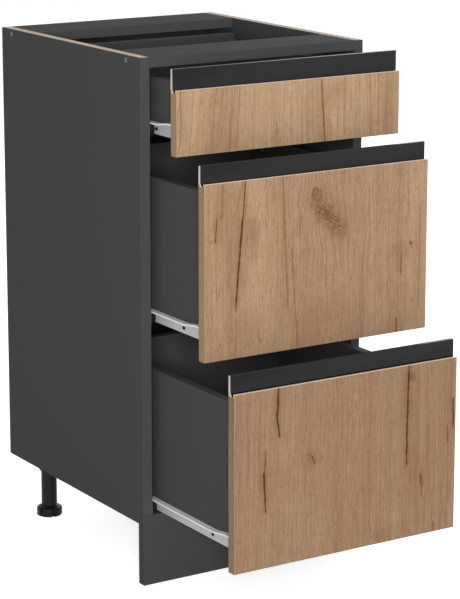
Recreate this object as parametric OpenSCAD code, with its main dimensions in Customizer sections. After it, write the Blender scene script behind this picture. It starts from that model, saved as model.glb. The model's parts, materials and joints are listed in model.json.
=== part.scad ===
// Flat-pack kitchen base cabinet with three drawers on roller runners.
// Millimetres, +Z up, the fronts face -Y. X = 0 is the middle of the width and Z = 0 the floor.
// Inside the modules Y = 0 is the front edge of the side panels; place() then moves each piece so
// that the origin lies under the middle of the whole cabinet with its drawers as drawn.

/* [Carcass] */
// Outside width of the cabinet
body_w = 400; // [300:1:600]
// Height of the side panels
body_h = 720; // [690:1:900]
// Depth of the side panels
body_d = 445; // [380:1:600]
// Thickness of the carcass boards
board_t = 16; // [15:0.5:19]
// Thickness of the back panel
back_t = 3; // [2.5:0.1:5]
// How far the back panel's edges stay inside the carcass outline
back_inset = 1; // [0.5:0.1:3]
// Depth of the two top rails
rail_d = 93; // [85:1:120]

/* [Base] */
// Height of the carcass above the floor
base_h = 96; // [80:1:160]
// Thickness of the plinth board
plinth_t = 16; // [12:0.5:19]
// How far the plinth board reaches up over the carcass
plinth_lap = 16; // [12:0.5:16]
// Leg centre from the outside of the side panel
leg_in = 39; // [39:1:80]
// Leg centre from the rear edge of the side panel
leg_from_rear = 63; // [40:1:100]
// Side of the square socket plate
socket_plate = 44; // [40:1:46]
// Thickness of the socket plate
socket_plate_t = 4; // [3:0.5:6]
// Outside diameter of the socket collar
socket_d = 32; // [31:0.5:34]
// Height of the socket collar below its plate
socket_h = 14; // [12:1:24]
// Diameter of the leg tube
leg_d = 26; // [22:0.5:28]
// Diameter of the levelling foot
foot_d = 42; // [36:1:48]
// Height of the levelling foot
foot_h = 17; // [15:0.5:28]
// Height of the foot's cone above its lobes
foot_cone_h = 2.5; // [2:0.5:5]
// Number of lobes round the levelling foot
foot_lobes = 6; // [4:1:8]
// Turn of the slots between the lobes
foot_turn = 21; // [0:1:60]
// Diameter of the levelling screw on the foot
stem_d = 10; // [8:0.5:12]
// Length of the levelling screw
stem_len = 50; // [40:1:52]

/* [Drawer fronts] */
// Thickness of the fronts
front_t = 16; // [16:0.5:22]
// Gap between a front's side edge and the outside of the carcass
front_reveal = 2; // [1:0.5:4]
// Gap between two fronts
front_gap = 2.5; // [2:0.5:5]
// Top of the upper front below the top of the carcass
top_margin = 6.5; // [3:0.5:12]
// Bottom of the lower front above the bottom of the carcass
bottom_margin = 0.5; // [0:0.5:4]
// Height of the upper front
top_front_h = 127; // [122:1:150]
// Height of the middle front
middle_front_h = 287; // [270:1:300]
// Height of the open grip band on the upper front
grip_h_top = 30; // [24:0.5:32]
// Height of the open grip band on the two tall fronts
grip_h_tall = 25.5; // [20:0.5:30]
// Thickness of the lip that stands behind the grip
grip_back_t = 6.5; // [5:0.5:7]
// Width of the grip groove behind the front lip
groove_w = 6; // [5:0.5:6.5]
// Depth of the grip groove below the front lip
groove_depth = 4.6; // [3:0.2:6]
// Radius of the groove's rear bottom corner
groove_r = 4.5; // [2:0.5:5]

/* [Drawer boxes] */
// Space for a runner between the carcass side and the drawer side
runner_gap = 12.5; // [12.4:0.1:13.5]
// Thickness of the drawer sides and backs
box_t = 16; // [15:0.5:19]
// Height of the upper drawer's sides
side_h_top = 82; // [80:1:82]
// Height of the tall drawers' sides
side_h_tall = 219; // [150:1:220]
// How far the upper drawer's back stands above its sides
back_rise_top = 10; // [0:1:12]
// How far the tall drawers' backs stand above their sides
back_rise_tall = 4; // [0:1:12]
// Underside of the upper drawer's runner above the front's lower edge
runner_rise_top = 18; // [18:1:20]
// Underside of the tall drawers' runners above the front's lower edge
runner_rise_tall = 20; // [20:1:24]
// Space behind a closed drawer
rear_gap = 21; // [12:1:40]
// Thickness of the drawer bottoms
bottom_t = 3; // [2.5:0.1:4]
// Underside of the drawer bottom above the lower edge of the sides
bottom_up = 10; // [8:1:12]
// Depth of the grooves that hold the drawer bottom
bottom_groove = 5; // [4:0.5:5.5]

/* [Runners] */
// Thickness of the runner steel
steel_t = 1.2; // [1:0.1:1.5]
// How much shorter a runner is than the drawer
runner_short = 25; // [24:1:60]
// Set-back of the runners from the front ends
runner_setback = 2; // [1:0.5:3]
// Height of the drawer member's web
runner_h = 18; // [18:0.5:20]
// Reach of the drawer member's top flange from the drawer side
flange_reach = 9.5; // [9.4:0.1:9.6]
// Depth of the turned-down lip on the top flange
lip_h = 2.5; // [1.5:0.5:3]
// Reach of the foot flange under the drawer side
foot_flange = 12; // [8:1:15]
// Rise of the self-closing ramp at the front
ramp_rise = 4.5; // [2:0.5:5]
// Where the ramp starts to rise, from the front of the drawer box
ramp_start = 70; // [60:1:74]
// Length of the ramp
ramp_len = 30; // [15:1:40]
// Distance from the front of the drawer box to the middle of the spare slot
spare_slot_y = 83.5; // [80:0.5:120]
// Height of the spare slot
spare_slot_h = 5.2; // [4:0.2:6]
// Length of the spare slot
spare_slot_len = 8; // [7:0.5:12]
// Underside of the track below the drawer member
track_drop = 4; // [3.8:0.1:4]
// Space between the drawer member's flange and the track's top flange
track_play = 1; // [0.6:0.1:1.5]
// Width of the track's flanges
track_w = 10.3; // [9.5:0.1:10.6]
// Where the track's lower flange starts, from the front of the carcass
lower_flange_start = 28; // [26:1:40]
// Where the track's top flange starts, from the front of the carcass
top_flange_start = 78; // [76:1:90]
// Length of track that still holds the drawer when it is fully open
runner_overlap = 100; // [98:1:200]
// Height of the stop lug on the track
stop_h = 5; // [3:0.5:6]
// Length of the stop lug on the track
stop_len = 3; // [2:0.5:5]

/* [Rollers] */
// Diameter of the rollers
roller_d = 20; // [19.5:0.1:20]
// Width of the rollers
roller_w = 5.6; // [5:0.1:5.6]
// Diameter of the roller axles
axle_d = 4; // [3:0.5:5]
// Diameter of the rivet head that keeps a roller on
axle_head_d = 6.4; // [6:0.2:8]
// Thickness of the rivet head
axle_head_t = 0.5; // [0.3:0.1:0.5]
// Front roller's axle behind the front of the carcass
front_axle_y = 14; // [13:0.5:16]
// Rear roller's axle in front of the runner's end
rear_axle_in = 13; // [11:0.5:20]

/* [Fasteners] */
// Head diameter of the confirmat screws
confirmat_head_d = 7; // [6.5:0.5:8.5]
// Shank diameter of the confirmat screws
confirmat_d = 5; // [4.6:0.1:6]
// Length of the confirmat screws
confirmat_len = 50; // [40:1:60]
// Key socket across its corners
confirmat_key = 3.6; // [3:0.1:4.4]
// Front confirmat behind the front edge of the side panel
confirmat_front = 42.5; // [30:0.5:46]
// Rear confirmat in front of the rear edge of the side panel
confirmat_rear = 32.5; // [28:0.5:46]
// Distance from a confirmat to its dowel
dowel_pitch = 32; // [20:1:32]
// Diameter of the worktop screws' holes in the rails
worktop_hole_d = 4.5; // [4:0.1:6]
// Distance of those holes from the carcass sides
worktop_hole_in = 60; // [50:1:75]
// Diameter of the dowels
dowel_d = 8; // [6:1:8]
// Length of the dowels
dowel_len = 30; // [25:1:35]
// Depth of the dowels in the side panel
dowel_bite = 11; // [9:0.5:11]
// Diameter of the cams
cam_d = 15; // [12:0.5:15]
// Depth of the cams in their board
cam_depth = 12.5; // [12:0.1:13]
// Distance from the joint to a cam's centre
cam_back = 34; // [24:1:40]
// Diameter of the cam bolts
bolt_d = 6; // [5:0.5:7]
// Depth of the cam bolts in the other board
bolt_bite = 10; // [8:0.5:11]
// Lower cam above the lower edge of a drawer side
cam_up = 26; // [25:1:30]
// Upper cam below the upper edge of a drawer side
cam_down = 20; // [16:1:24]
// Front cams of the bottom panel behind the front edge
bottom_cam_front = 80; // [60:1:120]
// Rear cams of the bottom panel in front of the rear edge
bottom_cam_rear = 125; // [120:1:160]
// Diameter of the small wood screws
screw_d = 3.5; // [3:0.1:4]
// Length of the small wood screws under the head
screw_len = 13; // [10:0.5:14]
// Head diameter of the small wood screws
screw_head_d = 6.8; // [6:0.2:8]
// Head height of the small wood screws
screw_head_h = 1.6; // [1.2:0.1:2]
// Diameter of the nails in the back panel
nail_d = 1.4; // [1.2:0.1:2]
// Length of the nails
nail_len = 22; // [18:1:25]
// Head diameter of the nails
nail_head_d = 3.2; // [2.8:0.1:4]
// Thickness of the nail heads
nail_head_t = 0.8; // [0.5:0.1:1.2]
// Most distance between two nails
nail_pitch = 125; // [80:5:200]
// Leg length of the plinth brackets
bracket_leg = 20; // [16:1:30]
// Thickness of the plinth brackets
bracket_t = 2; // [1.5:0.1:3]
// Width of the plinth brackets
bracket_w = 20; // [14:1:30]
// Distance of the plinth brackets from the carcass sides
bracket_in = 84; // [75:1:90]

/* [Drawers as drawn] */
// How far the upper drawer stands open
open_top = 82; // [0:1:250]
// How far the middle drawer stands open
open_middle = 158; // [0:1:250]
// How far the lower drawer stands open
open_lower = 238; // [0:1:250]
// Space between a closed front and the carcass
closed_gap = 1; // [0.5:0.5:2]

/* [Clearances] */
// Space round a screw, bolt, dowel or nail in its hole
hole_clear = 0.1; // [0.05:0.05:0.3]
// Space between an axle and the bore of its roller
bore_clear = 0.05; // [0.03:0.01:0.1]
// Space between a roller and the flange it runs on
roll_clear = 0.3; // [0.2:0.05:0.4]
// Space at each face of a roller
face_clear = 0.1; // [0.05:0.05:0.2]
// Space round a drawer bottom in its grooves
groove_clear = 0.3; // [0.1:0.1:0.5]

/* [Hidden] */
$fn = 64;
top = 0;
middle = 1;
lower = 2;
drawers = [top, middle, lower];

half_w = body_w / 2;
inner_x = half_w - board_t;
inner_w = 2 * inner_x;
body_top = base_h + body_h;
rail_z = body_top - board_t;
rail_mid_z = body_top - board_t / 2;
rear_rail_y = body_d - rail_d;
plinth_h = base_h + plinth_lap;
confirmat_y = [confirmat_front, body_d - confirmat_rear];
dowel_y = [confirmat_front + dowel_pitch, body_d - confirmat_rear - dowel_pitch];
bottom_cam_y = [bottom_cam_front, body_d - bottom_cam_rear];
leg_x = half_w - leg_in;
leg_y = body_d - leg_from_rear;
socket_top_z = base_h - socket_plate_t;
tube_gap = 0.3;
leg_screw_off = socket_plate / 2 - 6;
bracket_x = inner_x - bracket_in;

open_by = [open_top, open_middle, open_lower];
tall_room = body_h - top_margin - bottom_margin - 2 * front_gap - top_front_h - middle_front_h;
front_h = [top_front_h, middle_front_h, tall_room];
front_w = body_w - 2 * front_reveal;
low_z = base_h + bottom_margin;
middle_z = low_z + front_h[lower] + front_gap;
front_z = [middle_z + front_h[middle] + front_gap, middle_z, low_z];
grip_h = [grip_h_top, grip_h_tall, grip_h_tall];
runner_rise = [runner_rise_top, runner_rise_tall, runner_rise_tall];
side_h = [side_h_top, side_h_tall, side_h_tall];
back_rise = [back_rise_top, back_rise_tall, back_rise_tall];

// Underside of a drawer's runners, and of its side boards, which stand on the runners' foot flange
function runner_z(n) = front_z[n] + runner_rise[n];
function box_z(n) = runner_z(n) + steel_t;
// Front end of a drawer's box, which is the back face of its front
function box_y(n) = -closed_gap - open_by[n];

box_len = body_d - rear_gap + closed_gap;
box_side_len = box_len - box_t;
box_half = inner_x - runner_gap;
box_in_half = box_half - box_t;
runner_len = box_len - runner_short;
travel = runner_len - runner_overlap;

track_len = runner_len;
track_h = track_drop + runner_h + track_play + steel_t;
front_axle_z = runner_h - steel_t - roll_clear - roller_d / 2;
rear_axle_z = -track_drop + steel_t + roll_clear + roller_d / 2;
rear_axle_y = runner_setback + runner_len - rear_axle_in;
screw_z = front_axle_z + 1.5;
// The rollers run between the turned-down lip and the web of the drawer member
roller_out = runner_gap - flange_reach + steel_t + 0.5;
boss_d = axle_d + 4;
flange_end = rear_axle_y - roller_d / 2 - 3;
stop_reach = sqrt(pow(roller_d / 2, 2) - pow(roller_d / 2 + roll_clear - stop_h, 2));
stop_y = rear_axle_y - closed_gap - travel - stop_reach - roll_clear - stop_len;
track_screw_y = [37, track_len / 2 + 28, track_len - 44];
runner_screw_y = [24, runner_len - 115, runner_len - 50];

box_front_y = closed_gap + max(open_by) + front_t;
mid_y = (body_d + back_t - box_front_y) / 2;

anthracite = "#434343";
oak = "#af8f70";
steel_grey = "#b4b6b8";
zinc = "#c8cacc";
black_plastic = "#202020";
hdf = "#3a3a3a";
beech = "#d8b98c";

// Moves a carcass piece so that the origin lies under the middle of the whole cabinet
module place() {
    translate([0, -mid_y, 0]) children();
}

// Moves a drawer piece to where its drawer stands
module in_drawer(n) {
    place() translate([0, box_y(n), 0]) children();
}

// Pieces are drawn on the left; the right one is their mirror image
module on_side(right) {
    if (right) mirror([1, 0, 0]) children();
    else children();
}

module both_sides() {
    children();
    mirror([1, 0, 0]) children();
}

// A cylinder along +X from the given point
module rod_x(r, len) {
    rotate([0, 90, 0]) cylinder(r = r, h = len);
}

// Small wood screw along +X, its head on the -X side of x = 0
module wood_screw(grow = 0) {
    rod_x(screw_d / 2 + grow, screw_len + grow);
    if (grow == 0) translate([-screw_head_h, 0, 0]) rod_x(screw_head_d / 2, screw_head_h);
}

// Flush screw along +X: the head fills the thickness of the runner steel
module flush_screw(grow = 0) {
    rod_x(screw_d / 2 + grow, screw_len + grow);
    translate([-grow, 0, 0]) rod_x(screw_head_d / 2 - 0.4 + grow, steel_t + grow);
}

// Cam fitting: the bolt lies along Y with the joint at y = 0, and the cam opens towards +Z in a
// board whose middle plane is z = 0
module cam_bolt(grow = 0) {
    rotate([-90, 0, 0]) {
        translate([0, 0, -bolt_bite - grow]) cylinder(d = bolt_d + 1 + 2 * grow, h = bolt_bite + grow);
        cylinder(d = bolt_d + 2 * grow, h = cam_back - 2);
    }
}

module cam_disc(t) {
    difference() {
        translate([0, cam_back, t / 2 - cam_depth]) cylinder(d = cam_d, h = cam_depth - 0.2);
        cam_bolt(hole_clear);
        translate([-cam_d / 3, cam_back - 0.8, t / 2 - 2.5]) cube([2 * cam_d / 3, 1.6, 5]);
        translate([-0.8, cam_back - cam_d / 3, t / 2 - 2.5]) cube([1.6, 2 * cam_d / 3, 5]);
    }
}

module cam_pocket(t) {
    translate([0, cam_back, t / 2 - cam_depth - hole_clear])
        cylinder(d = cam_d + 2 * hole_clear, h = cam_depth + 1);
    cam_bolt(hole_clear);
}

module cam_fitting(t) {
    cam_disc(t);
    cam_bolt();
}

// Carcass fittings, drawn for the left side and used both as pieces and as holes

module confirmats(grow = 0) {
    for (y = confirmat_y) translate([-half_w, y, rail_mid_z]) difference() {
        union() {
            rod_x(confirmat_d / 2 + grow, confirmat_len + grow);
            rotate([0, 90, 0])
                cylinder(d1 = confirmat_head_d + 2 * grow, d2 = confirmat_d + 2 * grow, h = 3);
            if (grow > 0) translate([-1, 0, 0]) rod_x(confirmat_head_d / 2 + grow, 1);
        }
        if (grow == 0) translate([-1, 0, 0]) rotate([0, 90, 0])
            cylinder(d = confirmat_key, h = 3.5, $fn = 6);
    }
}

module dowels(grow = 0) {
    for (y = dowel_y) translate([-inner_x - dowel_bite - grow, y, rail_mid_z])
        rod_x(dowel_d / 2 + grow, dowel_len + 2 * grow);
}

module at_bottom_cams() {
    for (y = bottom_cam_y) translate([-inner_x, y, base_h + board_t / 2])
        rotate(a = 180, v = [1, 1, 0]) children();
}

module at_track_screws(n) {
    for (y = track_screw_y) translate([-inner_x + steel_t, y, runner_z(n) + screw_z])
        mirror([1, 0, 0]) children();
}

module at_leg_screws() {
    for (dx = [-1, 1], dy = [-1, 1])
        translate([-leg_x + dx * leg_screw_off, leg_y + dy * leg_screw_off, socket_top_z])
            rotate([0, -90, 0]) children();
}

module at_bracket_screws_up() {
    translate([-bracket_x, plinth_t + bracket_leg * 0.6, base_h - bracket_t]) rotate([0, -90, 0]) children();
}

module at_bracket_screws_front() {
    translate([-bracket_x, plinth_t + bracket_t, base_h - bracket_leg * 0.6]) rotate([0, 0, -90]) children();
}

// Nail positions as [x, z], evenly spaced along the edges of the back panel
nail_rows = ceil((body_h - 2 * board_t) / nail_pitch);
nail_cols = ceil((inner_w - 2 * board_t) / nail_pitch);
nail_x = half_w - board_t / 2;
side_nails = [for (s = [-1, 1], i = [0 : nail_rows])
    [s * nail_x, base_h + board_t + i * (body_h - 2 * board_t) / nail_rows]];
edge_nails = [for (z = [base_h + board_t / 2, rail_mid_z], i = [1 : nail_cols - 1])
    [-inner_x + i * inner_w / nail_cols, z]];

module nails(grow = 0) {
    for (p = concat(side_nails, edge_nails)) translate([p[0], body_d + back_t, p[1]]) rotate([90, 0, 0]) {
        translate([0, 0, -grow]) cylinder(d = nail_head_d + 2 * grow, h = nail_head_t + 2 * grow);
        cylinder(d = nail_d + 2 * grow, h = nail_len + grow);
    }
}

// Carcass

module side_panel(right) {
    color(anthracite) place() difference() {
        on_side(right) difference() {
            translate([-half_w, 0, base_h]) cube([board_t, body_d, body_h]);
            translate([-half_w - 1, -1, base_h - 1]) cube([board_t + 2, plinth_t + 1, plinth_lap + 1]);
            confirmats(hole_clear);
            dowels(hole_clear);
            at_bottom_cams() cam_bolt(hole_clear);
            for (n = drawers) at_track_screws(n) wood_screw(hole_clear);
        }
        nails(hole_clear);
    }
}

module bottom_panel() {
    color(anthracite) place() difference() {
        translate([-inner_x, plinth_t, base_h]) cube([inner_w, body_d - plinth_t, board_t]);
        both_sides() {
            at_bottom_cams() cam_pocket(board_t);
            at_leg_screws() wood_screw(hole_clear);
            at_bracket_screws_up() wood_screw(hole_clear);
        }
        nails(hole_clear);
    }
}

module back_panel() {
    color(hdf) place() difference() {
        translate([-half_w + back_inset, body_d, base_h + back_inset])
            cube([body_w - 2 * back_inset, back_t, body_h - 2 * back_inset]);
        nails(hole_clear);
    }
}

module top_rail(y) {
    color(anthracite) place() difference() {
        translate([-inner_x, y, rail_z]) cube([inner_w, rail_d, board_t]);
        both_sides() {
            confirmats(hole_clear);
            dowels(hole_clear);
            translate([-inner_x + worktop_hole_in, y + rail_d / 2, rail_z - 1])
                cylinder(d = worktop_hole_d, h = board_t + 2);
        }
        nails(hole_clear);
    }
}

module plinth_panel() {
    color(anthracite) place() difference() {
        translate([-half_w, 0, 0]) cube([body_w, plinth_t, plinth_h]);
        both_sides() at_bracket_screws_front() wood_screw(hole_clear);
    }
}

module rail_confirmats() {
    color(zinc) place() both_sides() confirmats();
}

module rail_dowels() {
    color(beech) place() both_sides() dowels();
}

module bottom_cam_fittings() {
    color(zinc) place() both_sides() at_bottom_cams() cam_fitting(board_t);
}

module back_nails() {
    color(zinc) place() nails();
}

module plinth_brackets() {
    color(zinc) place() both_sides() difference() {
        translate([-bracket_x - bracket_w / 2, plinth_t, base_h - bracket_leg]) difference() {
            cube([bracket_w, bracket_leg, bracket_leg]);
            translate([-1, bracket_t, -bracket_t]) cube([bracket_w + 2, bracket_leg, bracket_leg]);
        }
        at_bracket_screws_up() wood_screw(hole_clear);
        at_bracket_screws_front() wood_screw(hole_clear);
    }
}

module bracket_screws() {
    color(zinc) place() both_sides() {
        at_bracket_screws_up() wood_screw();
        at_bracket_screws_front() wood_screw();
    }
}

// Legs

module leg_sockets() {
    color(black_plastic) place() both_sides() difference() {
        union() {
            translate([-leg_x - socket_plate / 2, leg_y - socket_plate / 2, socket_top_z])
                cube([socket_plate, socket_plate, socket_plate_t]);
            translate([-leg_x, leg_y, socket_top_z - socket_h]) cylinder(d = socket_d, h = socket_h);
        }
        translate([-leg_x, leg_y, socket_top_z - socket_h - 1])
            cylinder(d = leg_d + 2 * hole_clear, h = socket_h + 1);
        at_leg_screws() wood_screw(hole_clear);
    }
}

module leg_tubes() {
    color(black_plastic) place() both_sides() translate([-leg_x, leg_y, foot_h + tube_gap]) difference() {
        cylinder(d = leg_d, h = socket_top_z - foot_h - tube_gap);
        translate([0, 0, -1]) cylinder(d = stem_d + 2 * tube_gap, h = stem_len + 3);
    }
}

module leg_screws() {
    color(zinc) place() both_sides() at_leg_screws() wood_screw();
}

module foot(right) {
    slot_w = 2.4;
    slot_d = 4.5;
    edge = 3.5;
    foot_r = foot_d / 2;
    lobe_h = foot_h - foot_cone_h;
    color(black_plastic) place() on_side(right) translate([-leg_x, leg_y, 0]) {
        difference() {
            rotate_extrude() union() {
                polygon([[0, 0], [foot_r - 1, 0], [foot_r, 1], [foot_r, lobe_h - edge],
                    [foot_r - edge, lobe_h], [leg_d / 2 + 0.5, foot_h], [0, foot_h]]);
                translate([foot_r - edge, lobe_h - edge]) circle(r = edge);
            }
            for (i = [0 : foot_lobes - 1]) rotate(i * 360 / foot_lobes + foot_turn)
                translate([foot_d / 2 - slot_d, -slot_w / 2, -1]) cube([slot_d + 1, slot_w, foot_h + 2]);
        }
        translate([0, 0, foot_h - 1]) cylinder(d = stem_d, h = stem_len + 1);
    }
}

// Runners: the track is screwed to the carcass, the drawer member to the drawer side

module roller_axle(from_x, boss_to, head_at) {
    s = sign(boss_to - from_x);
    translate([min(from_x, boss_to), 0, 0]) rod_x(boss_d / 2, abs(boss_to - from_x));
    head_end = head_at + s * axle_head_t;
    translate([min(from_x, head_end), 0, 0]) rod_x(axle_d / 2, abs(head_end - from_x));
    translate([min(head_at, head_end), 0, 0]) rod_x(axle_head_d / 2, axle_head_t);
}

module track(n, right) {
    z0 = runner_z(n) - track_drop;
    color(steel_grey) place() on_side(right) difference() {
        translate([-inner_x, 0, 0]) {
            translate([0, runner_setback, z0]) cube([steel_t, track_len, track_h]);
            translate([0, lower_flange_start, z0])
                cube([track_w, track_len + runner_setback - lower_flange_start, steel_t]);
            translate([0, top_flange_start, z0 + track_h - steel_t])
                cube([track_w, track_len + runner_setback - top_flange_start, steel_t]);
            translate([roller_out, stop_y, z0]) cube([track_w - roller_out, stop_len, steel_t + stop_h]);
            translate([0, front_axle_y, runner_z(n) + front_axle_z])
                roller_axle(steel_t - 0.2, roller_out - face_clear, roller_out + roller_w + face_clear);
        }
        at_track_screws(n) wood_screw(hole_clear);
    }
}

module track_screws() {
    color(zinc) place() both_sides() for (n = drawers) at_track_screws(n) wood_screw();
}

module roller() {
    difference() {
        rod_x(roller_d / 2, roller_w);
        translate([-1, 0, 0]) rod_x(axle_d / 2 + bore_clear, roller_w + 2);
    }
}

module front_rollers(n) {
    color(black_plastic) place() both_sides()
        translate([-inner_x + roller_out, front_axle_y, runner_z(n) + front_axle_z]) roller();
}

module rear_rollers(n) {
    color(black_plastic) in_drawer(n) both_sides()
        translate([-inner_x + roller_out, rear_axle_y, runner_z(n) + rear_axle_z]) roller();
}

// Side view of the runner's top line as [y, z], from its front end to its rear end
function top_line(end_y) = [
    [runner_setback, runner_h + ramp_rise],
    [ramp_start - ramp_len, runner_h + ramp_rise],
    [ramp_start, runner_h],
    [end_y, runner_h]
];

// A strip of the given depth below the top line, extruded along +X
module under_top_line(depth, width, end_y) {
    line = top_line(end_y);
    rotate([90, 0, 90]) linear_extrude(width)
        polygon(concat(line, [for (i = [len(line) - 1 : -1 : 0]) line[i] - [0, depth]]));
}

module at_runner_screws(n) {
    for (y = runner_screw_y) translate([-box_half - steel_t, y, runner_z(n) + screw_z]) children();
}

// Round-ended slot along the drawer, cut inwards from its side
module spare_slot(depth) {
    straight = spare_slot_len - spare_slot_h;
    translate([0, -straight / 2, -spare_slot_h / 2]) cube([depth, straight, spare_slot_h]);
    for (y = [-straight / 2, straight / 2]) translate([0, y, 0]) rod_x(spare_slot_h / 2, depth);
}

module runner(n, right) {
    runner_end = runner_setback + runner_len;
    color(steel_grey) in_drawer(n) on_side(right) difference() {
        union() {
            translate([-box_half - steel_t, 0, runner_z(n)]) rotate([90, 0, 90]) linear_extrude(steel_t)
                polygon(concat(top_line(runner_end), [[runner_end, 0], [runner_setback, 0]]));
            translate([-box_half - flange_reach, 0, runner_z(n)])
                under_top_line(steel_t, flange_reach, flange_end);
            translate([-box_half - flange_reach, 0, runner_z(n)])
                under_top_line(lip_h, steel_t, flange_end);
            translate([-box_half - steel_t, runner_setback, runner_z(n)])
                cube([foot_flange + steel_t, runner_len, steel_t]);
            translate([-inner_x, rear_axle_y, runner_z(n) + rear_axle_z])
                roller_axle(runner_gap - 0.2, roller_out + roller_w + face_clear, roller_out - face_clear);
        }
        at_runner_screws(n) flush_screw(hole_clear);
        translate([-box_half - 2 * steel_t, spare_slot_y, runner_z(n) + screw_z]) spare_slot(3 * steel_t);
    }
}

module runner_screws(n) {
    color(zinc) in_drawer(n) both_sides() at_runner_screws(n) flush_screw();
}

// Drawers

// Outline of a front as seen from its end: y = 0 is the back face, z = 0 the lower edge
module front_outline(h, grip) {
    lip_z = h - grip;
    groove_y = -grip_back_t - groove_w;
    difference() {
        translate([-front_t, 0]) square([front_t, h]);
        translate([-front_t - 1, lip_z]) square([front_t - grip_back_t + 1, grip + 1]);
        difference() {
            translate([groove_y, lip_z - groove_depth]) square([groove_w, groove_depth + 1]);
            difference() {
                translate([-grip_back_t - groove_r, lip_z - groove_depth - 1])
                    square([groove_r + 1, groove_r + 1]);
                translate([-grip_back_t - groove_r, lip_z - groove_depth + groove_r]) circle(r = groove_r);
            }
        }
    }
}

// Places of the cams along the height of a drawer side
function cam_z(n) = [box_z(n) + cam_up, box_z(n) + side_h[n] - cam_down];

module at_front_cams(n) {
    for (z = cam_z(n)) translate([-box_half + box_t / 2, 0, z]) rotate([0, 90, 0]) children();
}

module at_rear_cams(n) {
    for (z = cam_z(n)) translate([-box_half + box_t / 2, box_side_len, z])
        mirror([0, 1, 0]) rotate([0, 90, 0]) children();
}

// The drawer bottom, grown by the groove clearance where it is a groove
module bottom_sheet(n, grow = 0) {
    half = box_in_half + bottom_groove - groove_clear + grow;
    y0 = -bottom_groove + groove_clear - grow;
    translate([-half, y0, box_z(n) + bottom_up - (grow > 0 ? hole_clear : 0)])
        cube([2 * half, box_side_len - 2 * y0, bottom_t + (grow > 0 ? 2 * hole_clear : 0)]);
}

module drawer_front(n) {
    color(oak) in_drawer(n) difference() {
        translate([-front_w / 2, 0, front_z[n]]) rotate([90, 0, 90]) linear_extrude(front_w)
            front_outline(front_h[n], grip_h[n]);
        bottom_sheet(n, groove_clear);
        both_sides() at_front_cams(n) cam_bolt(hole_clear);
    }
}

module drawer_side(n, right) {
    color(anthracite) in_drawer(n) difference() {
        on_side(right) difference() {
            translate([-box_half, 0, box_z(n)]) cube([box_t, box_side_len, side_h[n]]);
            at_front_cams(n) cam_pocket(box_t);
            at_rear_cams(n) cam_pocket(box_t);
            at_runner_screws(n) flush_screw(hole_clear);
            translate([-box_half - 1, spare_slot_y, runner_z(n) + screw_z]) spare_slot(box_t / 2);
        }
        translate([0, -1, 0]) bottom_sheet(n, groove_clear);
        translate([0, 1, 0]) bottom_sheet(n, groove_clear);
    }
}

module drawer_back(n) {
    color(anthracite) in_drawer(n) difference() {
        translate([-box_half, box_side_len, box_z(n)]) cube([2 * box_half, box_t, side_h[n] + back_rise[n]]);
        bottom_sheet(n, groove_clear);
        both_sides() at_rear_cams(n) cam_bolt(hole_clear);
    }
}

module drawer_bottom(n) {
    color(hdf) in_drawer(n) bottom_sheet(n);
}

module cam_fittings(n) {
    color(zinc) in_drawer(n) both_sides() {
        at_front_cams(n) cam_fitting(box_t);
        at_rear_cams(n) cam_fitting(box_t);
    }
}

side_panel(false);  // side_panel_left
side_panel(true);  // side_panel_right
bottom_panel();
back_panel();
top_rail(0);  // top_rail_front
top_rail(rear_rail_y);  // top_rail_rear
plinth_panel();
rail_confirmats();
rail_dowels();
bottom_cam_fittings();
back_nails();
plinth_brackets();
bracket_screws();
leg_sockets();
leg_tubes();
leg_screws();
foot(false);  // foot_left
foot(true);  // foot_right
track_screws();
track(top, false);  // top_track_left
track(top, true);  // top_track_right
track(middle, false);  // middle_track_left
track(middle, true);  // middle_track_right
track(lower, false);  // lower_track_left
track(lower, true);  // lower_track_right
front_rollers(top);  // top_front_rollers
front_rollers(middle);  // middle_front_rollers
front_rollers(lower);  // lower_front_rollers
drawer_front(top);  // top_drawer_front
drawer_side(top, false);  // top_drawer_side_left
drawer_side(top, true);  // top_drawer_side_right
drawer_back(top);  // top_drawer_back
drawer_bottom(top);  // top_drawer_bottom
runner(top, false);  // top_runner_left
runner(top, true);  // top_runner_right
rear_rollers(top);  // top_rear_rollers
cam_fittings(top);  // top_cam_fittings
runner_screws(top);  // top_runner_screws
drawer_front(middle);  // middle_drawer_front
drawer_side(middle, false);  // middle_drawer_side_left
drawer_side(middle, true);  // middle_drawer_side_right
drawer_back(middle);  // middle_drawer_back
drawer_bottom(middle);  // middle_drawer_bottom
runner(middle, false);  // middle_runner_left
runner(middle, true);  // middle_runner_right
rear_rollers(middle);  // middle_rear_rollers
cam_fittings(middle);  // middle_cam_fittings
runner_screws(middle);  // middle_runner_screws
drawer_front(lower);  // lower_drawer_front
drawer_side(lower, false);  // lower_drawer_side_left
drawer_side(lower, true);  // lower_drawer_side_right
drawer_back(lower);  // lower_drawer_back
drawer_bottom(lower);  // lower_drawer_bottom
runner(lower, false);  // lower_runner_left
runner(lower, true);  // lower_runner_right
rear_rollers(lower);  // lower_rear_rollers
cam_fittings(lower);  // lower_cam_fittings
runner_screws(lower);  // lower_runner_screws
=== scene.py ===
"""Finishes, hardware detail, light and camera for a kitchen base cabinet with three drawers.

It is laid out as a Blender add-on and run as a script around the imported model. Lengths are metres, +Z is
up and the drawers open towards -Y.
"""

import json
import math
from typing import NamedTuple

import bmesh
import bpy
from bpy.props import FloatProperty, FloatVectorProperty, IntProperty, PointerProperty
from mathutils import Matrix, Vector


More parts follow.
